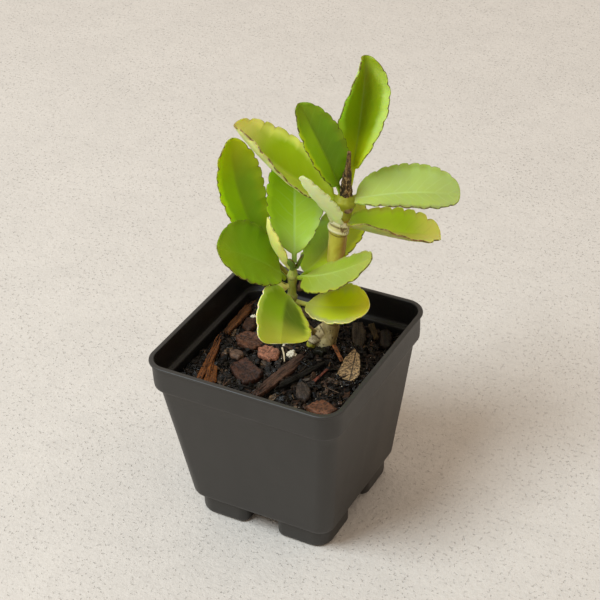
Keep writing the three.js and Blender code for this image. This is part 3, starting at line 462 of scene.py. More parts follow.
def make_pot():
    rings = [square_ring(half, max(radius, 1.5), z) for half, radius, z in pot_profile()]
    points, faces = join_rings(rings)
    walls = (points[:, 2] > BODY_BOTTOM + 2) & (points[:, 2] < BAND_BOTTOM - 2)
    flat = points.copy()
    flat[:, 2] *= 0.6
    warp = SIDE_WARP * roughness_at(flat, 34, 5.1, 2) * walls
    reach = np.abs(points[:, :2]).max(1, keepdims=True)
    points[:, :2] += warp[:, None] * points[:, :2] / reach
    pot = link("nursery_pot", make_mesh("nursery_pot", points, faces))
    combine(pot, "UNION", [foot_solid(x, y, 0, 0) for x, y in FEET])
    combine(pot, "DIFFERENCE", [foot_solid(x, y, WALL, FLOOR) for x, y in FEET])
    drains = [(0, 0), (0, -DRAIN_OUT), (0, DRAIN_OUT), (-DRAIN_OUT, 0), (DRAIN_OUT, 0)]
    combine(pot, "DIFFERENCE", [drain_solid(x, y) for x, y in drains])
    pot.data.shade_smooth()
    pot.data.set_sharp_from_angle(angle=math.radians(32))
    return pot


# ------------------------------------------------------------------ potting mix

MIX_STEP = 0.5  # distance between the points of its surface
MIX_SEED = 23
KEEP_OFF = 0.3  # how far loose bits keep from the named pieces
CRUMB_SIZES = (0.8, 1.1, 1.5, 2.0, 2.6)
DARK_TINTS = ((0.004, 0.003, 0.002), (0.007, 0.005, 0.003), (0.012, 0.008, 0.005), (0.024, 0.014, 0.008))
# Tints of the pale grit, which also stands in for glints of wet reflection on the mix: painted highlights.
GRIT_AND_GLINT_TINTS = ((0.75, 0.7, 0.6), (0.45, 0.4, 0.33), (0.25, 0.22, 0.17))
WARM_TINTS = ((0.05, 0.024, 0.013), (0.075, 0.04, 0.024), (0.06, 0.045, 0.033), (0.11, 0.066, 0.035))


def mix_height(x, y):
    distance = np.hypot(x - SOIL_CENTRE[0], y - SOIL_CENTRE[1])
    mound = SOIL_MOUND * np.exp(-(distance**2) / (2 * SOIL_SPREAD**2))
    waves = 0.5 * np.sin(x / 5.1 + 1) * np.cos(y / 6.3) + 0.35 * np.sin(y / 3.7 - x / 8.9)
    return SOIL_EDGE + mound + waves


def make_mix():
    """The mix as one body: a lumpy top, and sides and floor along the inside of the pot."""
    inset = WALL + GAP
    half = body_half(SOIL_EDGE) - inset
    count = int(2 * half / MIX_STEP)
    row = np.linspace(-half, half, count)
    x, y = (grid.ravel() for grid in np.meshgrid(row, row))
    corner = half - (BODY_RADIUS - inset)
    over_x, over_y = np.abs(x) - corner, np.abs(y) - corner
    outside = (over_x > 0) & (over_y > 0)
    longer, length = np.maximum(over_x, over_y), np.hypot(over_x, over_y)
    shrink = np.where(outside, longer / np.maximum(length, 1e-6), 1)
    x = np.where(outside, np.sign(x) * (corner + over_x * shrink), x)
    y = np.where(outside, np.sign(y) * (corner + over_y * shrink), y)
    flat = np.column_stack([x, y, np.zeros(len(x))])
    lumps = 0.9 * roughness_at(flat, 4.6, 1.3, 4) + 0.35 * roughness_at(flat, 1.5, 7.7, 2)
    top = np.column_stack([x, y, mix_height(x, y) + lumps - 0.5])
    cells = np.arange(count * count).reshape(count, count)
    faces = np.stack([cells[:-1, :-1], cells[:-1, 1:], cells[1:, 1:], cells[1:, :-1]], -1).reshape(-1, 4)
    border = np.concatenate([cells[0, :-1], cells[:-1, -1], cells[-1, :0:-1], cells[:0:-1, 0]])
    low = BODY_BOTTOM + FLOOR + GAP
    narrow = (body_half(low) - inset) / half
    below = np.column_stack([top[border][:, :2] * narrow, np.full(len(border), low)])
    base = len(top)
    sides = np.arange(len(border))
    after = (sides + 1) % len(border)
    walls = np.stack([border[sides], border[after], base + after, base + sides], 1)
    points = np.concatenate([top, below, [below.mean(0)]])
    floor = [[base + a, base + b, len(points) - 1] for a, b in zip(sides, after)]
    return make_mesh("potting_mix", points, faces.tolist() + walls.tolist() + floor)


def lump(size, rng):
    """A crumb: a box with its corners pushed about and its edges broken."""
    signs = np.array([(x, y, z) for x in (-1, 1) for y in (-1, 1) for z in (-1, 1)], float)
    points = signs * 0.5 * np.array(size)
    points *= np.array([[rng.uniform(0.55, 1) for _ in range(3)] for _ in range(8)])
    faces = [[0, 1, 3, 2], [4, 6, 7, 5], [0, 4, 5, 1], [2, 3, 7, 6], [0, 2, 6, 4], [1, 5, 7, 3]]
    return points, faces


def flake(length, width, thick, rng):
    """A small broken flake of bark."""
    corners = rng.randint(5, 8)
    angle = np.sort([2 * math.pi * (i + rng.uniform(-0.3, 0.3)) / corners for i in range(corners)])
    reach = np.array([rng.uniform(0.75, 1) for _ in range(corners)])
    flat = np.column_stack([0.5 * length * reach * np.cos(angle), 0.5 * width * reach * np.sin(angle)])
    rings = []
    for share, z in ((0.86, -0.5), (1, -0.2), (1, 0.25), (0.84, 0.5)):
        rise = [z * thick + rng.uniform(-0.08, 0.08) * thick for _ in range(corners)]
        rings.append(np.column_stack([flat * share, rise]))
    return join_rings(rings)


def fibre(length, width, rng):
    """A thin bent strand, fuller in its middle."""
    count = max(5, int(length / 1.6))
    turn, lean = rng.uniform(-0.6, 0.6), rng.uniform(-0.25, 0.25)
    share = np.linspace(-0.5, 0.5, count)
    middle = np.column_stack([
        length * share, length * turn * (share**2 - 0.12), length * lean * share + 0.5 * np.cos(4 * share)
    ])
    rings = []
    for place, s in zip(middle, share):
        r = 0.5 * width * (1 - 1.5 * s * s)
        angle = np.arange(5) * 2 * math.pi / 5
        rings.append(place + np.column_stack([np.zeros(5), r * np.cos(angle), 0.7 * r * np.sin(angle)]))
    return join_rings(rings)


def turned(points, turn, tip_x, tip_y):
    """Points tipped about X, then about Y, and then turned about Z."""
    spin = Matrix.Rotation(turn, 3, "Z") @ Matrix.Rotation(tip_y, 3, "Y") @ Matrix.Rotation(tip_x, 3, "X")
    return points @ np.array(spin).T


def inside_outline(x, y, piece, grow):
    """Whether a point lies over one of the named pieces, as seen from above."""
    angle = math.radians(piece["turn"])
    dx, dy = x - piece["centre"][0], y - piece["centre"][1]
    u, v = dx * math.cos(angle) + dy * math.sin(angle), dy * math.cos(angle) - dx * math.sin(angle)
    corners = piece["outline"]
    for (x0, y0), (x1, y1) in zip(corners, corners[1:] + corners[:1]):
        length = math.hypot(x1 - x0, y1 - y0)
        if ((x1 - x0) * (v - y0) - (y1 - y0) * (u - x0)) / length < -grow:
            return False
    return True


def strew(count, make, rng, lift, tilt):
    """Bits of one kind lying on the mix, clear of the named pieces: one shape, and its points' tints."""
    half = body_half(SOIL_EDGE) - WALL - GAP - 1.2
    parts, tints = [], []
    while len(parts) < count:
        x, y = rng.uniform(-half, half), rng.uniform(-half, half)
        covered = any(inside_outline(x, y, piece, KEEP_OFF) for piece in BARK)
        if covered or math.hypot(max(abs(x) - half + 6, 0), max(abs(y) - half + 6, 0)) > 6:
            continue
        points, faces, tint = make(rng)
        points = turned(points, rng.uniform(0, 6.28), rng.gauss(0, tilt), rng.gauss(0, tilt))
        points = points + np.array((x, y, float(mix_height(x, y)) + lift))
        points[:, :2] = np.clip(points[:, :2], -half - 0.9, half + 0.9)
        parts.append((points, faces))
        tints += [tint] * len(points)
    return gather(parts), tints


def bark_tint(rng, dark_share):
    return rng.choice(DARK_TINTS if rng.random() < dark_share else WARM_TINTS)


def crumb(rng):
    size, tint = rng.choice(CRUMB_SIZES), bark_tint(rng, 0.93)
    return *lump((size * 1.5, size, size * 0.8), rng), tint


def bark_flake(rng):
    size, tint = rng.uniform(2.2, 6), bark_tint(rng, 0.7)
    return *flake(size * 1.3, size * rng.uniform(0.5, 0.9), rng.uniform(0.5, 1.3), rng), tint


def strand(rng):
    tint = bark_tint(rng, 0.75)
    return *fibre(rng.uniform(5, 16), rng.uniform(0.25, 0.8), rng), tint


# A pale grain of grit, which also serves as a painted highlight for a glint on the wet mix.
def grit_and_painted_glint(rng):
    return *lump((0.5, 0.4, 0.4), rng), rng.choice(GRIT_AND_GLINT_TINTS)


MIX_BITS = (  # kind, how one is made, how high it lies, how far it is tilted
    ("grit", grit_and_painted_glint, 0.9, 0.9), ("crumbs", crumb, 0.1, 0.9), ("flakes", bark_flake, 0.35, 0.45),
    ("fibres", strand, 0.7, 0.12),
)


# ------------------------------------------------------------------ loose pieces

PLATE_STEP = 0.75  # distance between the points of a bark piece's faces
BARK_WEAR = 0.5  # how far its worn edges draw in
BARK_LAYERS = 5  # of its broken sides
LONG_BARK = 15  # pieces longer than this carry splinters


def edge_distance(flat, corners):
    """How far points lie inside a polygon's edges."""
    nearest = np.full(len(flat), 1e9)
    for start, end in zip(corners, np.roll(corners, -1, 0)):
        side = end - start
        share = np.clip(((flat - start) @ side) / (side @ side), 0, 1)
        nearest = np.minimum(nearest, np.linalg.norm(flat - start - share[:, None] * side, axis=1))
    return nearest


def plate(corners, step, ragged, seed):
    """A polygon filled with points: its points with the rim's first, the rim's count, the triangles."""
    rim = []
    for start, end in zip(corners, np.roll(corners, -1, 0)):
        pieces = max(1, int(np.linalg.norm(end - start) / step))
        rim += [start + (end - start) * i / pieces for i in range(pieces)]
    rim = np.array(rim)
    middle = rim.mean(0)
    wobble = roughness_at(np.column_stack([rim, np.zeros(len(rim))]), 1.7, seed, 2)
    away = rim - middle
    rim = rim + ragged * wobble[:, None] * away / np.linalg.norm(away, axis=1, keepdims=True)
    low, high = rim.min(0), rim.max(0)
    grid = np.stack(np.meshgrid(np.arange(low[0], high[0], step), np.arange(low[1], high[1], step)), -1)
    inner = grid.reshape(-1, 2)
    inner = inner + 0.2 * step * np.stack([np.sin(inner[:, 1] * 7), np.cos(inner[:, 0] * 5)], 1)
    inner = inner[edge_distance(inner, rim) > 0.45 * step]
    every = [Vector(p) for p in np.concatenate([rim, inner])]
    loop = [(i, (i + 1) % len(rim)) for i in range(len(rim))]
    found, _, triangles, origin, *_ = delaunay_2d_cdt(every, loop, [list(range(len(rim)))], 1, 1e-5)
    place = {old: new for new, olds in enumerate(origin) for old in olds}
    order = [place[i] for i in range(len(rim))]
    order += sorted(set(range(len(found))) - set(order))
    rank = {old: new for new, old in enumerate(order)}
    points = np.array([tuple(found[i]) for i in order])
    return points, len(rim), [[rank[i] for i in face] for face in triangles]


def grain_ways(corners):
    """The long way of a piece, which its grain follows, and the way across it."""
    spread = np.asarray(corners) - np.mean(corners, 0)
    values, ways = np.linalg.eigh(spread.T @ spread)
    along = ways[:, np.argmax(values)]
    return along, np.array((-along[1], along[0]))


def grain_places(points, ways):
    return np.column_stack([points[:, :2] @ ways[0], points[:, :2] @ ways[1], points[:, 2]])


def slab(piece, relief, ragged, wear):
    """Points, faces and grain places of a chip round its own middle."""
    corners = np.array(piece["outline"], float)
    thick = piece["thick"]
    seed = abs(piece["centre"][0] * 0.37 + piece["centre"][1] * 0.73)
    along, cross = ways = grain_ways(corners)
    flat, rim, triangles = plate(corners, PLATE_STEP, ragged, seed)
    outline = flat[:rim]
    middle = outline.mean(0)
    away = (outline - middle) / np.linalg.norm(outline - middle, axis=1, keepdims=True)
    inside = edge_distance(flat, outline)
    round_off = wear * (1 - ease(0, 1.2, inside)) * 0.7
    grain = np.column_stack([flat @ along / 5, flat @ cross * 1.1, np.zeros(len(flat))])
    ridges = relief * roughness_at(grain, 1.2, seed, 3)
    tilt = 0.1 * thick * np.sin(flat @ cross / 3 + seed)
    top = np.column_stack([flat, thick / 2 - round_off - 0.1 * thick + ridges + tilt])
    under = np.column_stack([flat, -thick / 2 + round_off + 0.4 * ridges])
    top[:rim, :2] -= wear * away
    under[:rim, :2] -= wear * away
    walls = []
    for i in range(1, BARK_LAYERS):
        share = i / BARK_LAYERS
        shelf = 0.22 * roughness_at(np.column_stack([outline / 3, np.full(rim, 9 * share)]), 1, seed + i, 2)
        ring = outline + away * (shelf[:, None] - 0.15)
        z = under[:rim, 2] + (top[:rim, 2] - under[:rim, 2]) * share
        walls.append(np.column_stack([ring, z]))
    points = np.concatenate([under, *walls, top])
    starts = [0] + [len(under) + i * rim for i in range(BARK_LAYERS)]
    faces = [face[::-1] for face in triangles]
    faces += [[starts[-1] + i for i in face] for face in triangles]
    for low, high in zip(starts, starts[1:]):
        faces += bridge(low, high, rim)
    return points, faces, grain_places(points, ways)


def placed(points, piece):
    """Points of a loose piece where it lies: tipped, turned and above the mix."""
    turn, tip_x, tip_y = (math.radians(a) for a in (piece.get("turn", 0), *piece.get("tip", (0, 0))))
    x, y = piece["centre"]
    return turned(points, turn, tip_x, tip_y) + np.array((x, y, float(mix_height(x, y)) + piece["lift"]))


def splinters(piece, rng, count=9):
    """Strands that lie along the grain of a long piece, most of them near its ends."""
    corners = np.array(piece["outline"], float)
    way, cross = grain_ways(corners)
    along, aside = corners @ way, corners @ cross
    length, half = np.ptp(along), 0.5 * np.ptp(aside)
    parts = []
    for _ in range(count):
        size = length * rng.uniform(0.25, 0.6)
        points, faces = fibre(size, rng.uniform(0.7, 1.3), rng)
        points[:, 1] *= 0.35
        points[:, 2] = points[:, 2] * 0.4 + piece["thick"] * 0.42
        reach = 0.5 * (length - 0.7 * size)
        points[:, 0] += along.mean() + reach * (1 - 0.6 * rng.random() ** 2) * rng.choice((-1, 1))
        points[:, 1] += aside.mean() + half * rng.uniform(-0.55, 0.55)
        turn = math.atan2(way[1], way[0]) + rng.uniform(-0.06, 0.06)
        parts.append((turned(points, turn, 0, 0), faces))
    return gather(parts)


def make_bark(piece):
    """A chip of bark. A long one carries splinters along its grain."""
    spans = np.ptp(np.array(piece["outline"]), axis=0)
    small = min(1, piece["thick"] / 3, spans.min() / 5)
    points, faces, places = slab(piece, 0.4 * small, 0.6 * small, min(BARK_WEAR, 0.3 * piece["thick"]))
    if piece["tone"] in ("orange", "brown", "black") and spans.max() > LONG_BARK:
        extra, more = splinters(piece, random.Random(sum(map(ord, piece["name"]))))
        faces = faces + [[i + len(points) for i in face] for face in more]
        places = np.concatenate([places, extra])
        points = np.concatenate([points, extra])
    tint = [tone(piece["shade"])] * len(points)
    return make_mesh(piece["name"], placed(points, piece), faces, sharp=50, grain=places, tint=tint)


def make_dry_leaf(piece):
    """A dry scrap of leaf, thin, with its sides curled up."""
    corners = np.array(piece["outline"], float)
    flat, rim, triangles = plate(corners, 0.6, 0.12, 3.3)
    ways = grain_ways(corners)
    u, v = flat @ ways[0], flat @ ways[1]
    height = 0.022 * v * v + 0.006 * u * u - 0.5 + 0.15 * np.sin(u * 1.3 + np.abs(v))
    height = height - 0.25 * hump(v, 0, 0.5)
    points = np.concatenate([np.column_stack([flat, height + half]) for half in (-0.2, 0.2)])
    faces = [face[::-1] for face in triangles] + [[len(flat) + i for i in face] for face in triangles]
    faces += bridge(0, len(flat), rim)
    tint = [tone(piece["shade"])] * len(points)
    places = grain_places(points, ways)
    return make_mesh(piece["name"], placed(points, piece), faces, sharp=60, grain=places, tint=tint)


def make_perlite(piece):
    """A white grain, puffed up and pitted."""
    ball = bmesh.new()
    bmesh.ops.create_icosphere(ball, subdivisions=4, radius=1)
    points = np.array([v.co for v in ball.verts])
    faces = [[v.index for v in face.verts] for face in ball.faces]
    ball.free()
    radius = piece["radius"]
    puffs = roughness_at(points * 2, 1.2, 3 * radius, 2)
    pits = np.clip(roughness_at(points * 2, 0.5, 5 * radius, 2), -1, 0.25)
    points = points * (radius * (0.95 + 0.36 * puffs + 0.12 * pits))[:, None]
    return make_mesh(piece["name"], placed(points, piece), faces)


# ------------------------------------------------------------------ stems

DOME = 0.6  # how far a stem's end stands out, in radii
DOME_SHARES = (0.35, 0.65, 0.9)
STEM_NODES = (  # height, swelling, spread, how far the ring climbs to the left of the picture
    (79.5, 0.25, 0.8, 0), (91.5, 0.3, 0.8, 0), (142, 0.5, 0.7, 1.4), (146.4, 0.6, 0.9, 1.4),
    (156.8, 0.35, 1.2, 0),
)
LEAF_CLASP = (149.8, 2.2)  # height and spread of the swelling where the bases of the leaves clasp the stem
RIGHT_OF_PICTURE = math.radians(29.67)
PALE_RINGS = (  # of the second node: height, half width, strength, colour
    (143.9, 2.7, 0.75, "d6cf96"), (146.6, 1.1, 0.9, "f1ecca"), (142.2, 0.8, 0.8, "ece5bd"),
)
DARK_RINGS = (140.4, 144.6, 90.5)
STUB_RINGS = (1.2, 3.6)  # along the stub of the dropped leaf
SHOOT_RINGS = (96.5, 111.4, 122.8)
KNOB_RINGS = (  # place along the knob, swelling, spread
    (6.1, -0.45, 0.4), (8.3, 0.35, 1.4), (10.4, -0.4, 0.4), (2.5, 0.3, 1),
)


def smooth_path(path, step):
    """Places and radii every step along a smooth line through the points of a path."""
    knots = np.array(path, float)
    ends = [2 * knots[0] - knots[1], *knots, 2 * knots[-1] - knots[-2]]
    places = []
    for before, start, end, after in zip(ends, ends[1:], ends[2:], ends[3:]):
        count = max(2, int(np.linalg.norm(end[:3] - start[:3]) / step))
        t = np.arange(count)[:, None] / count
        curve = 2 * start + (end - before) * t + (2 * before - 5 * start + 4 * end - after) * t**2
        places.append(0.5 * (curve + (3 * start - before - 3 * end + after) * t**3))
    return np.concatenate([*places, knots[-1:]])


def tube(path, sides, step, shape):
    """A round stem along a path, with domed ends. shape(distance, angle, middle) gives what is added to
    its radius. Returns points, faces and for each point its place along, its angle and its radius."""
    line = smooth_path(path, step)
    middle, radius = line[:, :3], np.maximum(line[:, 3], 0.15)
    along = np.gradient(middle, axis=0)
    along /= np.linalg.norm(along, axis=1, keepdims=True)
    across = np.cross((0, 1, 0), along)
    across /= np.linalg.norm(across, axis=1, keepdims=True)
    up = np.cross(along, across)
    distance = np.concatenate([[0], np.cumsum(np.linalg.norm(np.diff(middle, axis=0), axis=1))])
    angle = 2 * math.pi * np.arange(sides) / sides
    rings, coats = [], []
    for i in range(len(line)):
        r = radius[i] + shape(distance[i], angle, middle[i])
        away = np.cos(angle)[:, None] * across[i] + np.sin(angle)[:, None] * up[i]
        rings.append(middle[i] + r[:, None] * away)
        coats.append(np.column_stack([np.full(sides, distance[i]), angle, r]))
    for end, way in ((0, -1), (-1, 1)):
        edge = rings[end]
        centre = edge.mean(0)
        for share in DOME_SHARES:
            offset = way * share * DOME * radius[end] * along[end]
            at = 0 if end == 0 else len(rings)
            rings.insert(at, centre + (edge - centre) * math.sqrt(1 - share**2) + offset)
            coats.insert(at, coats[end])
    points, faces = join_rings(rings)
    return points, faces, np.concatenate([*coats, coats[0][:1], coats[-1][:1]])


def make_stem(name, path, sides, step, shape):
    points, faces, coat = tube(path, sides, step, shape)
    return make_mesh(name, points, faces, coat=coat)


def grit_round(angle, girth, height, rough, octaves):
    """Coarse noise round a stem at one height."""
    places = [Vector((girth * math.cos(a), girth * math.sin(a), height)) for a in angle]
    return np.array([noise.fractal(place, rough, 2.1, octaves) for place in places])


def stem_shape(distance, angle, middle):
    """The rings, scars and long furrows of the woody stem."""
    height = middle[2]
    bump = 0.09 * np.sin(3 * angle + height * 0.05) + 0.05 * np.sin(7 * angle - height * 0.11)
    for ring, swelling, spread, climb in STEM_NODES:
        wavy = ring + 0.35 * np.sin(2 * angle + ring) - climb * np.cos(angle - RIGHT_OF_PICTURE)
        bump = bump + swelling * (hump(height, wavy, spread) - 0.6 * hump(height, wavy - 1.7 * spread, 0.45))
    return bump + 0.9 * hump(height, *LEAF_CLASP) + 0.15 * grit_round(angle, 2.2, height * 0.5, 0.9, 3)


def stub_shape(distance, angle, middle):
    """The rings of the stub that a dropped leaf left."""
    return 0.08 * np.sin(2 * angle + distance) + sum(0.3 * hump(distance, ring, 0.5) for ring in STUB_RINGS)


def dried_shape(distance, angle, middle):
    """A shrunken, furrowed and knobbly end."""
    twist = angle + distance * 0.05
    furrows = 0.2 * np.sin(5 * twist) + 0.12 * np.sin(9 * twist + 1) + 0.1 * np.sin(2 * angle - distance)
    return (furrows + 0.45 * grit_round(angle, 2, distance * 0.6, 0.8, 4)) * np.exp(-distance / 26)


def shoot_shape(distance, angle, middle):
    """The rings of the green shoot, each with a furrow below it."""
    height = middle[2]
    bump = 0.05 * np.sin(4 * angle) + 0.03 * np.sin(height * 1.1)
    for ring in SHOOT_RINGS:
        bump = bump + 0.22 * hump(height, ring, 0.9) - 0.1 * hump(height, ring - 1.6, 0.5)
    return bump


def root_shape(distance, angle, middle):
    """A thin root, a little knotty."""
    return -0.16 + 0.05 * np.sin(1.7 * distance) + 0 * angle


def knob_shape(distance, angle, middle):
    """The knob of cork at the foot of the stem: a crack, a corky cap and the bud under it."""
    bump = 0.12 * np.sin(2 * angle + distance) + 0.1 * np.sin(5 * angle - 0.7 * distance)
    for ring, swelling, spread in KNOB_RINGS:
        bump = bump + swelling * hump(distance, ring, spread)
    return bump


# ------------------------------------------------------------------ leaves

ROW_STEP = 0.42  # along a leaf
HALF_COLUMNS = np.array(
    (0, 0.02, 0.045, 0.08, 0.13, 0.2, 0.28, 0.37, 0.47, 0.57, 0.67, 0.76, 0.84, 0.9, 0.94, 0.965, 0.983,
     0.994, 1)
)
TIP_SHARE = 0.045  # of the blade, where rows stand closer
RIM_ROUND = 0.42  # how far in from the margin a blade is rounded
THIN_TIP = 0.45  # how much of its thickness a blade loses by its tip
RUFFLE, SWELL = 0.28, 0.35  # how far the margin and the blade wave
GROOVE, RIDGE = (0.32, 0.65), (0.4, 0.85)  # of the midrib above and below: depth and half width
CREASE = 0.9  # how sharply a blade folds at its midrib


def leaf_axes(leaf, s):
    """Directions at shares s of the way from stalk to tip: along, across to the left, off its face."""
    heading = np.radians(leaf["heading"] + leaf["turn"] * s)
    rise = np.radians(leaf["rise"] + leaf["bend"] * s)
    roll = np.radians(leaf["roll"] + leaf["twist"] * s)[:, None]
    along = np.stack([np.cos(rise) * np.cos(heading), np.cos(rise) * np.sin(heading), np.sin(rise)], 1)
    level = np.stack([-np.sin(heading), np.cos(heading), 0 * heading], 1)
    across = level * np.cos(roll) + np.cross(along, level) * np.sin(roll)
    return along, across, np.cross(along, across)


def midrib(leaf, s):
    steps = 400
    middles = (np.arange(steps) + 0.5) / steps
    total = leaf["stalk"] + leaf["length"]
    track = np.cumsum(leaf_axes(leaf, middles)[0] * total / steps, 0)
    track = np.concatenate([[(0, 0, 0)], track])
    ends = np.arange(steps + 1) / steps
    return np.array(leaf["at"]) + np.stack([np.interp(s, ends, track[:, i]) for i in range(3)], 1)


def plain_half(leaf, t):
    """Half width of a blade without its scallops at shares t of its length."""
    widest, blunt = leaf["widest"], leaf["blunt"]
    base = blunt * widest / (1 - widest)
    inside = np.clip(t, 0, 1)
    half = leaf["width"] / 2 * (inside / widest) ** base * ((1 - inside) / (1 - widest)) ** blunt
    sheath = STALK_HALF + (leaf["sheath"] - STALK_HALF) * ease(0.2, 0, t)
    return np.maximum(half, sheath * (1 - np.maximum(t, 0)))


def scallops(leaf, t, rng):
    """What the scallops of one margin cut away at shares t: steep towards the tip, easy behind."""
    lobe = (1 - ENTIRE_BASE) / leaf["lobes"]
    edges = [ENTIRE_BASE + lobe * (i + rng.uniform(-0.12, 0.12)) for i in range(leaf["lobes"])] + [1.02]
    cut = np.zeros(len(t))
    for start, end in zip(edges, edges[1:]):
        share = (t - start) / (end - start)
        depth = SCALLOP_DEPTH * rng.uniform(0.75, 1.15) * min(1, leaf["width"] / 20)
        depth *= 1 + (leaf["ragged"] - 1) * ease(0.35, 0.9, end)
        easy = np.clip(1 - share / 0.5, 0, 1) ** 1.8
        steep = np.clip(1 - (1 - share) / 0.11, 0, 1) ** 1.3
        cut = np.where((share >= 0) & (share < 1), depth * np.maximum(easy, steep), cut)
    return cut


def leaf_half(leaf, side, t, s, rng):
    """One half of a blade at shares t of its length, the left half where side is 1. Gives the points of
    its face and its underside, how far they are from the midrib and from the margin, and how deep the
    scallops cut in there."""
    across, off = leaf_axes(leaf, s)[1:]
    blade = ease(-0.01, 0.1, t)
    thick = STALK_THICKNESS + (BLADE_THICKNESS - STALK_THICKNESS) * ease(-0.02, 0.14, t)
    thick *= 1 - THIN_TIP * ease(0.75, 1, t)
    half = plain_half(leaf, t)
    cut = scallops(leaf, t, rng)
    lobed = np.maximum(half - cut * ease(0.02, 0.2, t), np.minimum(half, 0.35))
    keel = np.minimum(1, half / KEEL_WIDTH)
    fold = np.radians(leaf["fold"][0 if side > 0 else 1]) * keel
    v = HALF_COLUMNS
    reach = lobed[:, None] * v
    angle = fold[:, None] * (1 - np.exp(-reach / CREASE))
    step = np.diff(reach, axis=1)
    mean = 0.5 * (angle[:, 1:] + angle[:, :-1])
    zero = np.zeros((len(t), 1))
    out = np.concatenate([zero, np.cumsum(step * np.cos(mean), 1)], 1)
    lift = np.concatenate([zero, np.cumsum(step * np.sin(mean), 1)], 1)
    aside, upwards = side * out[..., None] * across[:, None], lift[..., None] * off[:, None]
    place = midrib(leaf, s)[:, None] + aside + upwards
    normal = np.cos(angle)[..., None] * off[:, None] - side * np.sin(angle)[..., None] * across[:, None]
    sag = CUP * (keel * half)[:, None] * v * (1 - v)
    ruffle = RUFFLE * v**3 * (blade * np.sin(9 * t * leaf["lobes"] / 2 + 2 * side))[:, None]
    swell = SWELL * v * np.sin(5 * t + side + rng.uniform(0, 3))[:, None] * blade[:, None]
    raised = -sag + ruffle + swell
    inwards = reach[:, -1:] - reach
    round_off = np.sqrt(1 - (1 - np.clip(inwards / RIM_ROUND, 0, 1)) ** 2)
    plate_thick = (thick[:, None] + (MARGIN_THICKNESS - thick[:, None]) * v**2) * round_off
    stalk_thick = thick[:, None] * np.sqrt(1 - v**2)
    deep = stalk_thick + (plate_thick - stalk_thick) * blade[:, None]
    groove = GROOVE[0] * hump(reach, 0, GROOVE[1]) * (blade * (1 - 0.8 * t))[:, None]
    ridge = RIDGE[0] * hump(reach, 0, RIDGE[1]) * (blade * (1 - 0.7 * t))[:, None]
    top = place + (raised + deep / 2 - groove)[..., None] * normal
    under = place + (raised - deep / 2 - ridge * (v < 0.9))[..., None] * normal
    return top, under, reach, inwards, np.broadcast_to(cut[:, None], reach.shape)


def make_leaf(leaf):
    """A leaf from the foot of its stalk to its tip, in rings round both of its faces."""
    rng = random.Random(sum(map(ord, leaf["name"])))
    length, stalk = leaf["length"], leaf["stalk"]
    stalk_rows = np.linspace(-stalk / length, 0, max(4, int(stalk / 0.8)), endpoint=False)
    blade_rows = np.linspace(0, 1 - TIP_SHARE, int(length / ROW_STEP), endpoint=False)
    tip_rows = 1 - np.linspace(math.sqrt(TIP_SHARE), 0.02, 9) ** 2
    t = np.concatenate([stalk_rows, blade_rows, tip_rows])
    s = (stalk + t * length) / (stalk + length)
    halves = [leaf_half(leaf, side, t, s, rng) for side in (1, -1)]
    top, under, *rest = (np.concatenate([right[:, ::-1], left[:, 1:]], 1) for left, right in zip(*halves))
    points, faces = join_rings(np.concatenate([under, top[:, -2:0:-1]], 1))
    rib, rim, cut = (np.concatenate([rows, rows[:, -2:0:-1]], 1) for rows in rest)
    columns = np.concatenate([-HALF_COLUMNS[::-1], HALF_COLUMNS[1:]])
    inner = np.ones(len(columns) - 2)
    aside = np.broadcast_to(np.concatenate([columns, columns[-2:0:-1]]), rim.shape)
    face = np.broadcast_to(np.concatenate([[0], -inner, [0], inner]), rim.shape)
    share = np.broadcast_to(t[:, None], rim.shape)
    values = {
        "spot": (share, aside, face),
        "reach": (np.minimum(rim, (1 - share) * length), rib, share * length),
        "notch": (cut, cut, cut),
    }
    for key, numbers in values.items():
        rows = np.stack(numbers, -1)
        values[key] = np.concatenate([rows.reshape(-1, 3), rows[0, :1], rows[-1, :1]])
    return make_mesh(leaf["name"], points, faces, **values)


# ------------------------------------------------------------------ shader trees


def tone(code):
    """A colour from its hexadecimal screen value, as the shaders want it."""
    channels = [int(code[i : i + 2], 16) / 255 for i in (0, 2, 4)]
    return tuple(c / 12.92 if c <= 0.04045 else ((c + 0.055) / 1.055) ** 2.4 for c in channels)


def scaled(rgb, factor, lift=0):
    return tuple(min(1, c * factor + lift) for c in rgb)


def level(z):
    """A height of the part's layout, in millimetres, as the materials measure it."""
    return (z - GROUND) / 1000


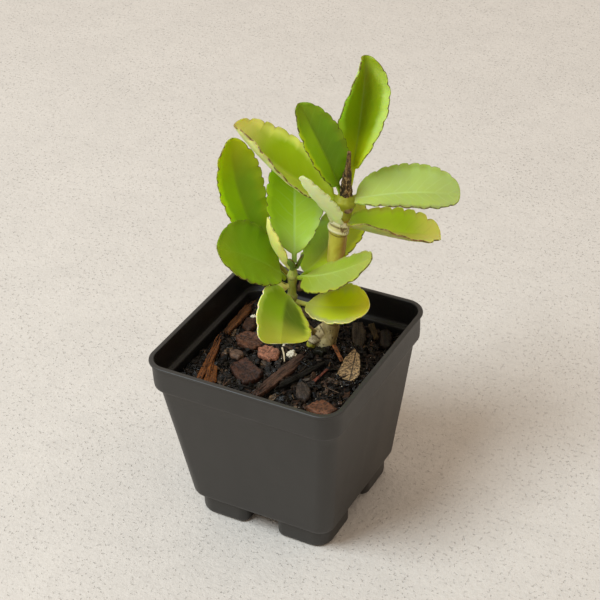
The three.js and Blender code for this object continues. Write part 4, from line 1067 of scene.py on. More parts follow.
class Tree:
    """Adds nodes to one shader tree and links them. What feeds an input is a socket or a value, and a
    colour is three numbers or a hexadecimal code."""

    def __init__(self, tree):
        self.tree = tree

    def feed(self, socket, value):
        if isinstance(value, bpy.types.NodeSocket):
            self.tree.links.new(value, socket)
        elif value is not None:
            if socket.type == "RGBA":
                value = (*(tone(value) if isinstance(value, str) else value)[:3], 1.0)
            socket.default_value = value

    def add(self, kind, inputs, **settings):
        node = self.tree.nodes.new(kind)
        for key, value in settings.items():
            setattr(node, key, value)
        for key, value in inputs.items():
            self.feed(node.inputs[key], value)
        return node

    def math(self, operation, *values, clamp=False):
        node = self.add("ShaderNodeMath", dict(enumerate(values)), operation=operation, use_clamp=clamp)
        return node.outputs[0]

    def times(self, *values, clamp=False):
        return self.math("MULTIPLY", *values, clamp=clamp)

    def plus(self, *values):
        return self.math("ADD", *values)

    def apart(self, first, second):
        """How far one value is from another."""
        return self.math("ABSOLUTE", self.math("SUBTRACT", first, second))

    def vector(self, operation, *values):
        node = self.add("ShaderNodeVectorMath", dict(enumerate(values)), operation=operation)
        return node.outputs["Value" if operation in ("DOT_PRODUCT", "LENGTH") else "Vector"]

    def stretch(self, vector, scale):
        return self.vector("MULTIPLY", vector, scale)

    def mix(self, share, first, second, blend="MIX"):
        feeds = {0: share, 6: first, 7: second}
        node = self.add("ShaderNodeMix", feeds, data_type="RGBA", blend_type=blend, clamp_factor=True)
        return node.outputs[2]

    def toned(self, base, factors):
        return self.mix(1.0, base, factors, "MULTIPLY")

    def range(self, value, low, high, out_low=0.0, out_high=1.0):
        feeds = dict(enumerate((value, low, high, out_low, out_high)))
        return self.add("ShaderNodeMapRange", feeds, interpolation_type="SMOOTHSTEP").outputs[0]

    def over(self, under, paint, value, low, high, amount=1.0):
        """A colour painted over another as far as a value has come from low to high."""
        return self.mix(self.range(value, low, high, 0.0, amount), under, paint)

    def noise(self, vector, scale, detail=3.0, rough=0.55, warp=0.0):
        feeds = {"Vector": vector, "Scale": scale, "Detail": detail, "Roughness": rough, "Distortion": warp}
        return self.add("ShaderNodeTexNoise", feeds).outputs["Fac"]

    def cells(self, vector, scale):
        return self.add("ShaderNodeTexVoronoi", {"Vector": vector, "Scale": scale}).outputs["Distance"]

    def attribute(self, name, output="Vector"):
        return self.add("ShaderNodeAttribute", {}, attribute_name=name).outputs[output]

    def parts(self, vector):
        return self.add("ShaderNodeSeparateXYZ", {0: vector}).outputs

    def coordinates(self, kind):
        return self.add("ShaderNodeTexCoord", {}).outputs[kind]

    def place(self):
        return self.coordinates("Object")


def make_group(name, inputs, outputs, fill):
    """A shader node group, built once. inputs are names with their defaults: None for a place, else a
    number or a colour. outputs are names, of which all but Colour are numbers."""
    if name in bpy.data.node_groups:
        return bpy.data.node_groups[name]
    group = bpy.data.node_groups.new(name, "ShaderNodeTree")
    kinds = {type(None): "Vector", float: "Float", tuple: "Color"}
    for label, value in inputs.items():
        kind = "NodeSocket" + kinds[type(value)]
        socket = group.interface.new_socket(label, in_out="INPUT", socket_type=kind)
        if value is not None:
            socket.default_value = value
    for label in outputs:
        kind = "NodeSocketColor" if label == "Colour" else "NodeSocketFloat"
        group.interface.new_socket(label, in_out="OUTPUT", socket_type=kind)
    tree = Tree(group)
    tree.add("NodeGroupOutput", fill(tree, tree.add("NodeGroupInput", {}).outputs))
    return group


def use(tree, group, **values):
    """Outputs of a group placed in a tree. An underscore in a value's name stands for a space."""
    feeds = {key.replace("_", " "): value for key, value in values.items()}
    return tree.add("ShaderNodeGroup", feeds, node_tree=group).outputs


def make_material(name, build, depth, rough=0.5, **settings):
    """A material whose Principled shader takes what build(tree) returns: colour, relief and, where it
    changes over the surface, roughness. depth is that of the relief, in metres."""
    material = bpy.data.materials.new(name)
    material.use_nodes = True
    tree = Tree(material.node_tree)
    shader = material.node_tree.nodes["Principled BSDF"]
    shader.inputs["Roughness"].default_value = rough
    for key, value in settings.items():
        shader.inputs[key.replace("_", " ")].default_value = value
    skin, relief, gloss = (*build(tree), None)[:3]
    bump = tree.add("ShaderNodeBump", {"Height": relief, "Distance": depth, "Strength": 1.0})
    for key, value in (("Base Color", skin), ("Roughness", gloss), ("Normal", bump.outputs[0])):
        tree.feed(shader.inputs[key], value)
    return material


# ------------------------------------------------------------------ shared effects

# Default colours of the groups' inputs.
GREY = (0.5, 0.5, 0.5, 1)
BARK_BROWN = (0.1, 0.07, 0.05, 1)
LEAF_GREEN = (0.2, 0.3, 0.03, 1)


def mottle_group():
    """Two colours in soft patches over a third, and the mask of the patches."""

    def fill(tree, given):
        place, amount = given["Place"], given["Amount"]
        broad = tree.noise(place, given["Scale"], 4, 0.6, 0.4)
        fine = tree.noise(place, tree.times(given["Scale"], 5.3), 3, 0.6)
        patches = tree.range(broad, 0.38, 0.64)
        mixed = tree.mix(tree.times(patches, amount), given["Base"], given["Light"])
        specks = tree.times(tree.range(fine, 0.42, 0.68), tree.times(amount, 0.5))
        return {"Colour": tree.mix(specks, mixed, given["Dark"]), "Mask": patches, "Fine": fine}

    inputs = {"Place": None, "Scale": 30.0, "Amount": 0.5, "Base": GREY, "Light": GREY, "Dark": GREY}
    return make_group("mottle", inputs, ("Colour", "Mask", "Fine"), fill)


def mottled(tree, place, scale, amount, base, light, dark):
    return use(tree, mottle_group(), Place=place, Scale=scale, Amount=amount,
               Base=base, Light=light, Dark=dark)


def grain_group():
    """Wood or bark of one shade at the given place in millimetres. Stretch draws its grain out along X."""

    def fill(tree, given):
        place, base = given["Place"], given["Base"]
        drawn = tree.stretch(place, given["Stretch"])
        fibres = tree.noise(drawn, 0.95, 4, 0.7, 0.4)
        bands = tree.noise(drawn, 0.3, 3, 0.6, 0.8)
        pits = tree.noise(place, 1.1, 3, 0.7)
        light, dark = tree.toned(base, (2.3, 2.1, 1.9)), tree.toned(base, (0.14, 0.12, 0.1))
        cracks = tree.range(fibres, 0.49, 0.43)
        flecks = tree.times(tree.range(pits, 0.54, 0.6), given["Flecks"])
        holes = tree.times(tree.range(pits, 0.44, 0.36), given["Contrast"])
        mixed = tree.over(base, light, bands, 0.42, 0.64, 0.7)
        mixed = tree.mix(tree.times(cracks, given["Contrast"]), mixed, dark)
        mixed = tree.mix(flecks, mixed, light)
        mixed = tree.mix(holes, mixed, dark)
        height = tree.plus(tree.times(fibres, 0.6), tree.times(pits, 0.4))
        return {"Colour": mixed, "Height": height, "Mask": cracks}

    inputs = {"Place": None, "Stretch": None, "Contrast": 0.8, "Flecks": 0.5, "Base": BARK_BROWN}
    return make_group("bark_grain", inputs, ("Colour", "Height", "Mask"), fill)


LEAF_TONES = ("Left", "Right", "Left_edge", "Right_edge", "Tip", "Base", "Under", "Rib")


def leaf_group():
    """The skin of a fleshy leaf. spot holds the share along the blade, the share across it and the face;
    reach the distances in from the margin, out from the midrib and along; notch the depth of the
    scallops' notches. Lengths are in millimetres."""

    def fill(tree, given):
        share, across, face = tree.parts(tree.attribute("spot"))
        rim, rib, along = tree.parts(tree.attribute("reach"))
        notch = tree.parts(tree.attribute("notch"))[0]
        place = tree.place()
        cloud = tree.noise(place, 60, 3, 0.5)
        fine = tree.noise(place, 420, 3, 0.6)
        dots = tree.noise(place, 700, 2, 0.5)
        # The two halves, their borders, the tip and the base. These tones carry painted light and shade:
        # each half is lighter or darker for how lit it is, and the paler borders are a painted glow of light
        # through the thin margin.
        left = tree.range(across, -0.1, 0.1)
        blade = tree.mix(left, given["Right"], given["Left"])
        border = tree.mix(left, given["Right edge"], given["Left edge"])
        wavering = tree.times(given["Glow reach"], tree.range(cloud, 0.3, 0.7, 0.75, 1.25))
        blade = tree.over(blade, border, rim, wavering, tree.times(wavering, 0.35))
        blade = tree.over(blade, given["Tip"], share, 0.6, 1.0)
        blade = tree.over(blade, given["Base"], share, 0.42, 0.02)
        blade = tree.over(blade, border, cloud, 0.5, 0.75, 0.2)
        # Side veins, which slant towards the tip, and the midrib, on both faces.
        slant = tree.math("SUBTRACT", along, tree.times(rib, 0.9))
        wander = tree.plus(slant, tree.times(cloud, 9.0))
        saw = tree.math("PINGPONG", tree.math("DIVIDE", wander, 5.2), 0.5)
        fade = tree.times(tree.range(rim, 0.8, 5.0), tree.range(rib, 14, 1.0))
        vein = tree.times(tree.times(tree.range(saw, 0.12, 0.0), fade), given["Veins"])
        middle = tree.times(tree.range(rib, 0.95, 0.25), tree.range(share, 1.0, 0.45))
        lines = tree.math("MAXIMUM", vein, tree.times(middle, given["Midrib"]))
        blade = tree.mix(lines, blade, given["Rib"])
        under = tree.over(given["Under"], border, cloud, 0.35, 0.7, 0.35)
        under = tree.mix(tree.times(lines, 0.7), under, given["Rib"])
        skin = tree.mix(tree.range(face, -0.2, 0.2), under, blade)
        # The thin broken line on the margin, thicker in the notches, and the blush inside it.
        thick = tree.plus(tree.plus(0.16, tree.times(dots, 0.14)), tree.times(notch, 0.1))
        line = tree.range(tree.math("DIVIDE", rim, thick), 1.3, 0.7)
        broken = tree.plus(tree.range(dots, 0.38, 0.6, 0.35, 1), tree.range(notch, 0.1, 0.6))
        line = tree.times(tree.times(line, broken, clamp=True), tree.range(share, 0.0, 0.1))
        skin = tree.mix(tree.times(line, given["Margin amount"]), skin, given["Margin"])
        blush = tree.times(tree.range(rim, 2.4, 0.2), given["Blush"])
        skin = tree.mix(tree.times(blush, tree.range(cloud, 0.35, 0.6)), skin, given["Blush tone"])
        height = tree.plus(tree.times(cloud, 0.6), tree.times(fine, 0.12))
        height = tree.math("SUBTRACT", height, tree.times(vein, 0.25))
        rough = tree.plus(tree.plus(0.42, tree.times(fine, 0.16)), tree.times(line, 0.2))
        return {"Colour": skin, "Height": height, "Roughness": rough}

    tones = [label.replace("_", " ") for label in LEAF_TONES]
    inputs = dict.fromkeys([*tones, "Margin", "Blush tone"], LEAF_GREEN)
    inputs |= {"Glow reach": 5.0, "Veins": 0.2, "Midrib": 0.35, "Margin amount": 0.9, "Blush": 0.1}
    return make_group("leaf_skin", inputs, ("Colour", "Height", "Roughness"), fill)


# ------------------------------------------------------------------ materials


def plastic_material(settings):
    """Dark moulded plastic: fine grain, faint wipes and dust, and painted shade on the inside walls of the
    pot.
    """

    def build(tree):
        place = tree.place()
        base = tuple(settings.plastic)
        wiped = tree.stretch(place, (1, 1, 0.35))
        wipes = mottled(tree, wiped, 26, 0.35, base, scaled(base, 1.5, 0.01), scaled(base, 0.75))
        specks = tree.range(tree.noise(place, 1400, 2, 0.6), 0.7, 0.8)
        dusty = tree.range(tree.noise(place, 34, 3, 0.6), 0.45, 0.7, 0, settings.dust)
        skin = tree.mix(tree.times(specks, dusty), wipes["Colour"], "b8ad9a")
        # Painted shade: faces turned in towards the axis, the inside walls, are darkened to 0.16 of the
        # plastic's colour, while upward faces such as the inner ledge stay as they are.
        level_normal = tree.stretch(tree.coordinates("Normal"), (1, 1, 0))
        facing = tree.vector("DOT_PRODUCT", level_normal, tree.vector("SUBTRACT", place, AXIS))
        skin = tree.over(skin, scaled(base, 0.16), facing, -0.008, -0.024)
        grain = tree.times(tree.noise(place, 2600, 2, 0.5), 0.16)
        gloss = tree.plus(settings.gloss, tree.times(wipes["Mask"], 0.1))
        return skin, tree.plus(grain, tree.noise(place, 45, 2, 0.5)), gloss

    return make_material("moulded_plastic", build, 0.00025)


def mix_material(settings):
    """Wet dark compost: black with brown specks and small glints."""

    def build(tree):
        place = tree.place()
        ground = mottled(tree, place, 420, 0.9, settings.damp, settings.dry, scaled(settings.damp, 0.4))
        height = tree.plus(tree.noise(place, 900, 4, 0.7), tree.times(ground["Fine"], 0.7))
        return ground["Colour"], height, tree.range(ground["Fine"], 0.35, 0.65, 0.3, 0.75)

    return make_material("damp_mix", build, 0.0006, Specular_IOR_Level=0.2)


def bits_material():
    """Bits of bark and fibre, each with a tint of its own."""

    def build(tree):
        place = tree.place()
        tint = tree.attribute("tint", "Color")
        fine = tree.noise(tree.stretch(place, (1, 1, 2.5)), 700, 3, 0.7)
        skin = tree.over(tint, (0.002, 0.0015, 0.001), fine, 0.5, 0.42, 0.8)
        skin = tree.over(skin, tree.toned(tint, (2.2, 2, 1.8)), fine, 0.57, 0.66, 0.5)
        return skin, fine, tree.range(tree.noise(place, 240, 2, 0.5), 0.4, 0.6, 0.22, 0.6)

    return make_material("bark_bits", build, 0.0005, Specular_IOR_Level=0.24)


BARKS = {  # how far its grain is drawn out, contrast, flecks, roughness
    "orange": ((0.12, 1.4, 1.2), 0.95, 0.6, 0.5),
    "red": ((0.6, 1.0, 1.2), 0.75, 0.5, 0.45),
    "grey": ((0.6, 1.0, 1.2), 0.6, 0.5, 0.45),
    "salmon": ((0.9, 1.0, 1.2), 0.5, 1.0, 0.6),
    "brown": ((0.1, 1.4, 1.2), 0.95, 0.5, 0.5),
    "black": ((0.14, 1.5, 1.4), 0.7, 0.2, 0.35),
    "twig": ((0.14, 1.5, 1.4), 0.6, 0.5, 0.6),
}


def bark_material(kind):
    stretch, contrast, flecks, rough = BARKS[kind]

    def build(tree):
        wood = use(tree, grain_group(), Place=tree.attribute("grain"), Stretch=stretch, Contrast=contrast,
                   Flecks=flecks, Base=tree.attribute("tint", "Color"))
        return wood["Colour"], wood["Height"], tree.plus(rough, tree.times(wood["Mask"], 0.25))

    return make_material(kind + "_bark", build, 0.0007, rough, Specular_IOR_Level=0.3)


def dry_leaf_material():
    """A dry scrap of leaf: brown and straw specks, a dark midrib and faint side veins."""

    def build(tree):
        place = tree.attribute("grain")
        along, across, _ = tree.parts(place)
        tint = tree.attribute("tint", "Color")
        speckle = tree.noise(place, 0.95, 2, 0.7)
        broad = tree.noise(place, 0.3, 3, 0.6)
        skin = tree.over(tint, tree.toned(tint, (1.5, 1.4, 1.25)), broad, 0.4, 0.65, 0.7)
        skin = tree.over(skin, tree.toned(tint, (2.4, 2.3, 2.1)), speckle, 0.5, 0.55, 0.9)
        skin = tree.over(skin, tree.toned(tint, (0.3, 0.26, 0.2)), speckle, 0.47, 0.43, 0.9)
        side = tree.math("ABSOLUTE", across)
        slant = tree.plus(along, tree.times(side, 0.8))
        veins = tree.range(tree.math("PINGPONG", tree.math("DIVIDE", slant, 1.7), 0.5), 0.09, 0.0, 0, 0.3)
        skin = tree.mix(tree.math("MAXIMUM", veins, tree.range(side, 0.4, 0.12)), skin, "2e2214")
        return skin, tree.plus(speckle, veins)

    return make_material("dry_leaf", build, 0.0006, 0.7)


SPECKLED = {  # scale and strength of the patches; base, light and dark tone; depth of relief; roughness
    "perlite": (700, 0.6, "e6dabd", "f6eedb", "8a744e", 0.0005, 0.85),
    "pale_root": (500, 0.6, "d0bd98", "e2d3b0", "6e5838", 0.0003, 0.7),
    "withered_bract": (600, 0.7, "4e351a", "7a5a34", "1e120a", 0.0005, 0.8),
}


def speckled_material(name):
    """One of the plain mottled finishes. Perlite is pitted with small cells."""
    *look, depth, rough = SPECKLED[name]

    def build(tree):
        place = tree.place()
        skin = mottled(tree, place, *look)
        return skin["Colour"], tree.cells(place, 1500) if name == "perlite" else skin["Fine"]

    return make_material(name, build, depth, rough)


def wood_material(settings):
    """The woody stem: straw, with painted shade in browner tones round its right side and a painted
    highlight along its right edge, pale and cracked at its foot and rings, olive at its top node, where a
    leaf scar shows."""

    def build(tree):
        place = tree.place()
        height = tree.parts(place)[2]
        girth = tree.parts(tree.attribute("coat"))[1]
        streaks = tree.noise(tree.stretch(place, (1, 1, 0.12)), 420, 4, 0.6)
        patches = tree.noise(place, 110, 3, 0.6)
        cracks = tree.noise(tree.stretch(place, (1, 1, 0.6)), 620, 4, 0.7)
        turned = tree.math("COSINE", tree.math("SUBTRACT", girth, RIGHT_OF_PICTURE))
        base = tree.over(settings.wood, "c0b747", patches, 0.35, 0.68)
        base = tree.over(base, "8a6d1e", streaks, 0.5, 0.75, 0.5)
        # Painted shade and highlight: turned is 1 where the surface faces the right of the picture; the stem
        # is painted browner there as shade, with a paler line at the very edge as a painted highlight.
        base = tree.over(base, "8f6226", turned, 0.0, 0.85, 0.75)
        base = tree.over(base, "c39a58", turned, 0.9, 1.0, 0.5)
        # The corky foot, its right side painted darker as shade, and the olive top.
        foot = tree.range(height, level(97), level(88))
        cork = tree.over("ddd09c", "ab9a62", patches, 0.4, 0.62)
        cork = tree.over(cork, "7d6638", turned, 0.15, 0.8, 0.85)
        cork = tree.over(cork, "40331a", cracks, 0.44, 0.34, 0.85)
        base = tree.mix(foot, base, cork)
        olive = tree.over("7b8010", "9a9a24", patches, 0.35, 0.65)
        base = tree.over(base, olive, height, level(147.6), level(149.4))
        # Pale rings at the second node, the torn skin there, and dark thin rings.
        tilted = tree.plus(height, tree.times(turned, 0.0014))
        for middle, half, amount, paint in PALE_RINGS:
            away = tree.apart(tilted, level(middle))
            base = tree.over(base, paint, away, half * 0.0013, half * 0.0006, amount)
        node = tree.range(tree.apart(tilted, level(PALE_RINGS[0][0])), 0.005, 0.003)
        torn = tree.times(node, tree.range(turned, -0.5, 0.3, 0.15, 0.9))
        base = tree.mix(tree.times(torn, tree.range(cracks, 0.52, 0.38)), base, "5a3a1c")
        wavy = tree.plus(tilted, tree.times(patches, 0.0012))
        for ring in DARK_RINGS:
            base = tree.over(base, "5b4420", tree.apart(wavy, level(ring) + 0.0006), 0.0005, 0.0001, 0.75)
        scar = tree.vector("SUBTRACT", place, shifted(LEAF_SCAR).tolist())
        scar = tree.vector("LENGTH", tree.vector("DIVIDE", scar, LEAF_SCAR_HALF))
        base = tree.over(base, tree.over("5f4030", "a08468", cracks, 0.4, 0.6), scar, 1.15, 0.85)
        return base, tree.plus(streaks, tree.times(cracks, tree.plus(0.5, foot)))

    return make_material("woody_stem", build, 0.00045, Specular_IOR_Level=0.3)


def stub_material():
    """The pale stub of a dropped leaf, with whitish rings at its base."""

    def build(tree):
        along = tree.parts(tree.attribute("coat"))[0]
        pale = mottled(tree, tree.place(), 260, 0.5, "c9cc84", "e9e6c0", "8f8a4c")
        skin = pale["Colour"]
        for ring in STUB_RINGS:
            skin = tree.over(skin, "f3efd6", tree.apart(along, ring), 0.7, 0.3, 0.9)
            skin = tree.over(skin, "7a6638", tree.apart(along, ring + 0.8), 0.35, 0.1, 0.6)
        return skin, pale["Fine"]

    return make_material("leaf_stub", build, 0.0003)


def dried_material():
    """The dried tip: dark and crusty, with paler flecks and shreds."""

    def build(tree):
        place = tree.place()
        along = tree.parts(tree.attribute("coat"))[0]
        broad = tree.noise(tree.stretch(place, (1, 1, 0.4)), 260, 3, 0.6)
        grit = tree.noise(tree.stretch(place, (1, 1, 0.55)), 900, 4, 0.7)
        skin = tree.over("2e1d0a", "6a4a20", broad, 0.35, 0.65)
        skin = tree.over(skin, "b89a66", grit, 0.53, 0.6, 0.8)
        skin = tree.over(skin, "7a5c2e", along, 9, 15, 0.5)
        skin = tree.over(skin, "140b04", grit, 0.48, 0.42, 0.9)
        return skin, tree.plus(grit, broad)

    return make_material("dried_stem", build, 0.0008, 0.75)


def shoot_material(settings):
    """The green shoot: pale green above, tan below, with rings where leaves stood."""

    def build(tree):
        place = tree.place()
        height = tree.parts(place)[2]
        drawn = tree.stretch(place, (1, 1, 0.3))
        green = mottled(tree, drawn, 240, 0.6, settings.shoot, "aab05a", "545e1c")
        tan = tree.over("9c8650", "6a582c", green["Fine"], 0.4, 0.6)
        low = tree.times(tree.range(height, level(106), level(92)), 0.85)
        skin = tree.mix(low, green["Colour"], tan)
        for ring in (111.2, 122.8, 96.5):
            skin = tree.over(skin, "7c7438", tree.apart(height, level(ring)), 0.0016, 0.0004, 0.6)
        return skin, green["Fine"]

    return make_material("green_shoot", build, 0.0003, 0.45, Subsurface_Weight=0.4, Subsurface_Scale=0.002)


def knob_material():
    """The pale knob at the foot of the stem, its corky cap and the yellow-green bud under it."""

    def build(tree):
        along = tree.parts(tree.attribute("coat"))[0]
        place = tree.place()
        blotch = tree.noise(place, 330, 4, 0.6)
        cap = tree.over("dfd2a6", "9c8f68", blotch, 0.4, 0.6)
        bud = tree.over("6a6c12", "aaa62e", blotch, 0.35, 0.65)
        skin = tree.over("e4d6a4", "ab9a64", blotch, 0.45, 0.65)
        skin = tree.over(skin, cap, along, 6.0, 6.6)
        skin = tree.over(skin, bud, along, 9.9, 10.7)
        for ring, paint in ((6.1, "3d2f18"), (10.3, "4a3a1c"), (2.2, "6a5834")):
            skin = tree.over(skin, paint, tree.apart(along, ring), 0.55, 0.15, 0.8)
        skin = tree.over(skin, "3a3014", tree.noise(place, 900, 3, 0.6), 0.42, 0.33, 0.75)
        return skin, blotch

    return make_material("stem_knob", build, 0.0006, 0.6)


# Colours of a leaf on the screen, its own greens with painted light and shade in them: the left and right
# half of its face, each toned for how lit or shaded it is, the borders of both, painted paler as light
# glowing through the thin margin, its tip, its base, its underside and its rib. reach: how far in its
# borders come, in millimetres. blush: how red the margin is. margin: strength of the thin line on it, and
# rim: that line's colour. midrib and veins: how much they show. What is left out is as in the settings.
BLUSH, MIDRIB = 0.08, 0.3
LEAF_LOOKS = {
    "leaf_top": dict(reach=8.5, tones="819d01 829701 a6c634 b2c45e 8a9501 b8c104 b4c67c 8fae3a"),
    "leaf_upper_left": dict(reach=3.5, tones="89b102 688b01 b5c90c 708701 748701 779f01 9bb25c 8aa63c"),
    "leaf_left": dict(reach=6, blush=0.35, tones="bdca3e 9cb004 d2d488 cfd060 dbce6f 96a201 ccd386 a5b540"),
    "leaf_front": dict(
        reach=2.5, blush=0.25, margin=0.35, tones="d0dc9a d0dc9a d0dc9a d0dc9a d0dc9a d0dc9a e9f5bc f0f4d0"
    ),
    "leaf_right": dict(reach=4, tones="a5b55b a0b054 98a547 878c4d 9da75c b0bf5c a6bc60 c3d88e"),
    "leaf_lower_right": dict(
        reach=4.5, blush=0.55, tones="c6de2a c8ca4e c0c840 d8b78c efee88 a6c40c b4bc66 a8bc3c"
    ),
    "leaf_behind_stem": dict(reach=3.5, tones="718e01 acb901 5e7001 cdda01 7f7801 9ab801 9cae40 9cb23a"),
    "leaf_shoot_left": dict(
        reach=5, blush=0.2, tones="9cc201 7da101 bfdf01 91a201 b2b301 665e01 a0b458 92ae28"
    ),
    "leaf_shoot_top": dict(
        reach=4, veins=0.12, midrib=0.4, tones="8eaf04 a0bd2f a2c015 a2b957 8eaf04 a8c151 98b25a b3cc80"
    ),
    "leaf_round_left": dict(reach=3, tones="6e8d01 6e9401 6b7f01 6a8601 7d9101 819a02 8ea83e 86a634"),
    "leaf_sliver": dict(
        reach=2.0, margin=0.5, tones="d0d46a d0d46a d0d46a d0d46a e0e38a d0d46a f6f78d f0f0b0"
    ),
    "leaf_shoot_right": dict(reach=3, tones="90a42e 92a041 979d43 a2a732 9da247 899920 9ab44e b6d07c"),
    "leaf_low_right": dict(
        reach=6, blush=0.2, rim="e2d894", tones="d6e504 c4d124 c8cc58 b4b46e e4dd34 acad4b a4ac3e b3c05a"
    ),
    "leaf_low_front": dict(
        reach=4, rim="efe6b4", midrib=0.08, tones="587004 84a602 b8c23e b4c650 b8bc3a a6c701 a2a840 94aa3a"
    ),
    "leaf_small": dict(reach=2.0, tones="c0c46a c0c46a c0c46a c0c46a c0c46a d8da70 e0e080 d6da96"),
    "leaf_young_right": dict(reach=1.0, tones="4c6420 3c5218 4c6420 3c5218 4c6020 4c6420 6b8638 6f8a40"),
    "leaf_young_left": dict(reach=1.0, tones="44591c 3a4f17 44591c 3a4f17 4c6020 44591c 6b8638 6f8a40"),
}


def leaf_material(leaf, settings):
    look = LEAF_LOOKS[leaf["name"]]
    tones = dict(zip(LEAF_TONES, look["tones"].split()))

    def build(tree):
        skin = use(
            tree, leaf_group(), **tones, Margin=look.get("rim", settings.margin), Blush_tone=settings.blush,
            Glow_reach=look["reach"], Blush=look.get("blush", BLUSH), Midrib=look.get("midrib", MIDRIB),
            Veins=look.get("veins", settings.veins),
            Margin_amount=look.get("margin", settings.margin_amount),
        )
        return skin["Colour"], skin["Height"], skin["Roughness"]

    return make_material("skin_of_" + leaf["name"], build, 0.0004, 0.42, Specular_IOR_Level=0.25,
                         Subsurface_Weight=0.8, Subsurface_Scale=0.003, Subsurface_Radius=(0.6, 1, 0.1))


def floor_material(settings):
    """Pale plaster: soft clouds, fine grit and small pits."""

    def build(tree):
        place = tree.place()
        base = tuple(settings.floor)
        light, dark = scaled(base, 1.06), scaled(base, 0.88)
        stone = mottled(tree, place, 16, 0.6, base, light, dark)
        grit = tree.noise(place, 330, 4, 0.75)
        skin = tree.over(stone["Colour"], dark, grit, 0.5, 0.66, 0.42)
        skin = tree.over(skin, light, grit, 0.44, 0.34, 0.42)
        pits = tree.range(tree.noise(place, 520, 2, 0.5), 0.62, 0.7)
        pits = tree.times(pits, tree.noise(place, 20, 2, 0.5))
        skin = tree.mix(tree.times(pits, 0.13), skin, scaled(base, 0.6))
        return skin, tree.math("SUBTRACT", grit, pits)

    return make_material("pale_floor", build, 0.0007, 0.85)


# ------------------------------------------------------------------ settings


def colour_setting(name, description, code):
    return FloatVectorProperty(
        name=name, description=description, subtype="COLOR", size=3, min=0, max=1, default=tone(code)
    )


def share_setting(name, description, default, low=0):
    return FloatProperty(
        name=name, description=description, subtype="FACTOR", default=default, min=low, max=1
    )


def count_setting(name, description, default):
    return IntProperty(name=name, description=description, default=default, min=0)


class PotSettings(PropertyGroup):
    plastic: colour_setting("Plastic", "Colour of the moulded plastic", "272522")
    gloss: share_setting("Roughness", "Roughness of the plastic", 0.42, 0.1)
    dust: share_setting("Dust", "How much dust lies on it", 0.35)


class MixSettings(PropertyGroup):
    damp: colour_setting("Damp", "Colour of the damp mix", "0c0906")
    dry: colour_setting("Dry", "Colour of its drier specks", "241a12")
    crumbs: count_setting("Crumbs", "Number of crumbs on the mix", 1500)
    # Pale grit, which also serves as painted glints of wet reflection on the mix.
    grit: count_setting("Grit", "Number of pale grains of grit", 150)
    flakes: count_setting("Flakes", "Number of small flakes of bark", 420)
    fibres: count_setting("Fibres", "Number of loose fibres", 320)


class StemSettings(PropertyGroup):
    wood: colour_setting("Wood", "Colour of the woody stem", "ab9427")
    shoot: colour_setting("Shoot", "Colour of the green shoot", "a3aa46")


class LeafSettings(PropertyGroup):
    margin: colour_setting("Margin", "Colour of the thin line along the leaf margins", "431f10")
    blush: colour_setting("Blush", "Colour of the reddish borders", "8a5230")
    margin_amount: share_setting("Margin strength", "How strong the margin line is", 0.85)
    veins: share_setting("Veins", "How much the side veins show", 0.14)


class StageSettings(PropertyGroup):
    floor: colour_setting("Floor", "Colour of the floor", "cec7be")
    key_power: FloatProperty(
        name="Key light", description="Power of the large soft light", default=50.0, min=0, unit="POWER"
    )
    fill: FloatProperty(name="Fill", description="Strength of the light from all round", default=0.69, min=0)
    distance: FloatProperty(
        name="Camera distance", description="From the middle of the plant", default=0.7787, unit="LENGTH"
    )
    lens: FloatProperty(name="Lens", description="Focal length of the camera", default=97.98, unit="CAMERA")


# ------------------------------------------------------------------ operators


class KALANCHOE_OT_pot(Operator):
    """Make the square nursery pot"""

    bl_idname = "kalanchoe.pot"
    bl_label = "Nursery pot"

    def execute(self, context):
        settle(make_pot(), "pot_plastic", plastic_material(context.scene.kalanchoe_pot), "pot")
        return {"FINISHED"}


class KALANCHOE_OT_mix(Operator):
    """Make the potting mix and the crumbs, flakes and fibres that lie on it"""

    bl_idname = "kalanchoe.mix"
    bl_label = "Potting mix"

    def execute(self, context):
        settings = context.scene.kalanchoe_mix
        settle(link("bark_mix", make_mix()), "potting_mix", mix_material(settings), "potting_mix")
        bits = bits_material()
        rng = random.Random(MIX_SEED)
        for name, make, lift, tilt in MIX_BITS:
            (points, faces), tints = strew(getattr(settings, name), make, rng, lift, tilt)
            name = "mix_" + name
            settle(link(name, make_mesh(name, points, faces, sharp=30, tint=tints)), "potting_mix", bits)
        return {"FINISHED"}


class KALANCHOE_OT_bark(Operator):
    """Make the named pieces of bark, charcoal and twig on the mix"""

    bl_idname = "kalanchoe.bark"
    bl_label = "Bark pieces"

    def execute(self, context):
        finishes = {kind: bark_material(kind) for kind in BARKS}
        for piece in BARK:
            kind = piece["tone"]
            if kind in BARKS:
                slot = "twig" if kind == "twig" else kind + "_bark"
                settle(link("fine_" + piece["name"], make_bark(piece)), slot, finishes[kind], piece["name"])
        return {"FINISHED"}


class KALANCHOE_OT_scraps(Operator):
    """Make the dry scrap of leaf, the pale root and the white grains"""

    bl_idname = "kalanchoe.scraps"
    bl_label = "Dry leaf, root and grains"

    def execute(self, context):
        dry = next(piece for piece in BARK if piece["name"] == "dry_leaf")
        settle(link("fine_dry_leaf", make_dry_leaf(dry)), "dry_leaf", dry_leaf_material(), "dry_leaf")
        white = speckled_material("perlite")
        for piece in PERLITE:
            settle(link("fine_" + piece["name"], make_perlite(piece)), "perlite", white, piece["name"])
        root = make_stem("pale_root", ROOT, 10, 0.4, root_shape)
        settle(link("fine_pale_root", root), "root", speckled_material("pale_root"), "pale_root")
        return {"FINISHED"}


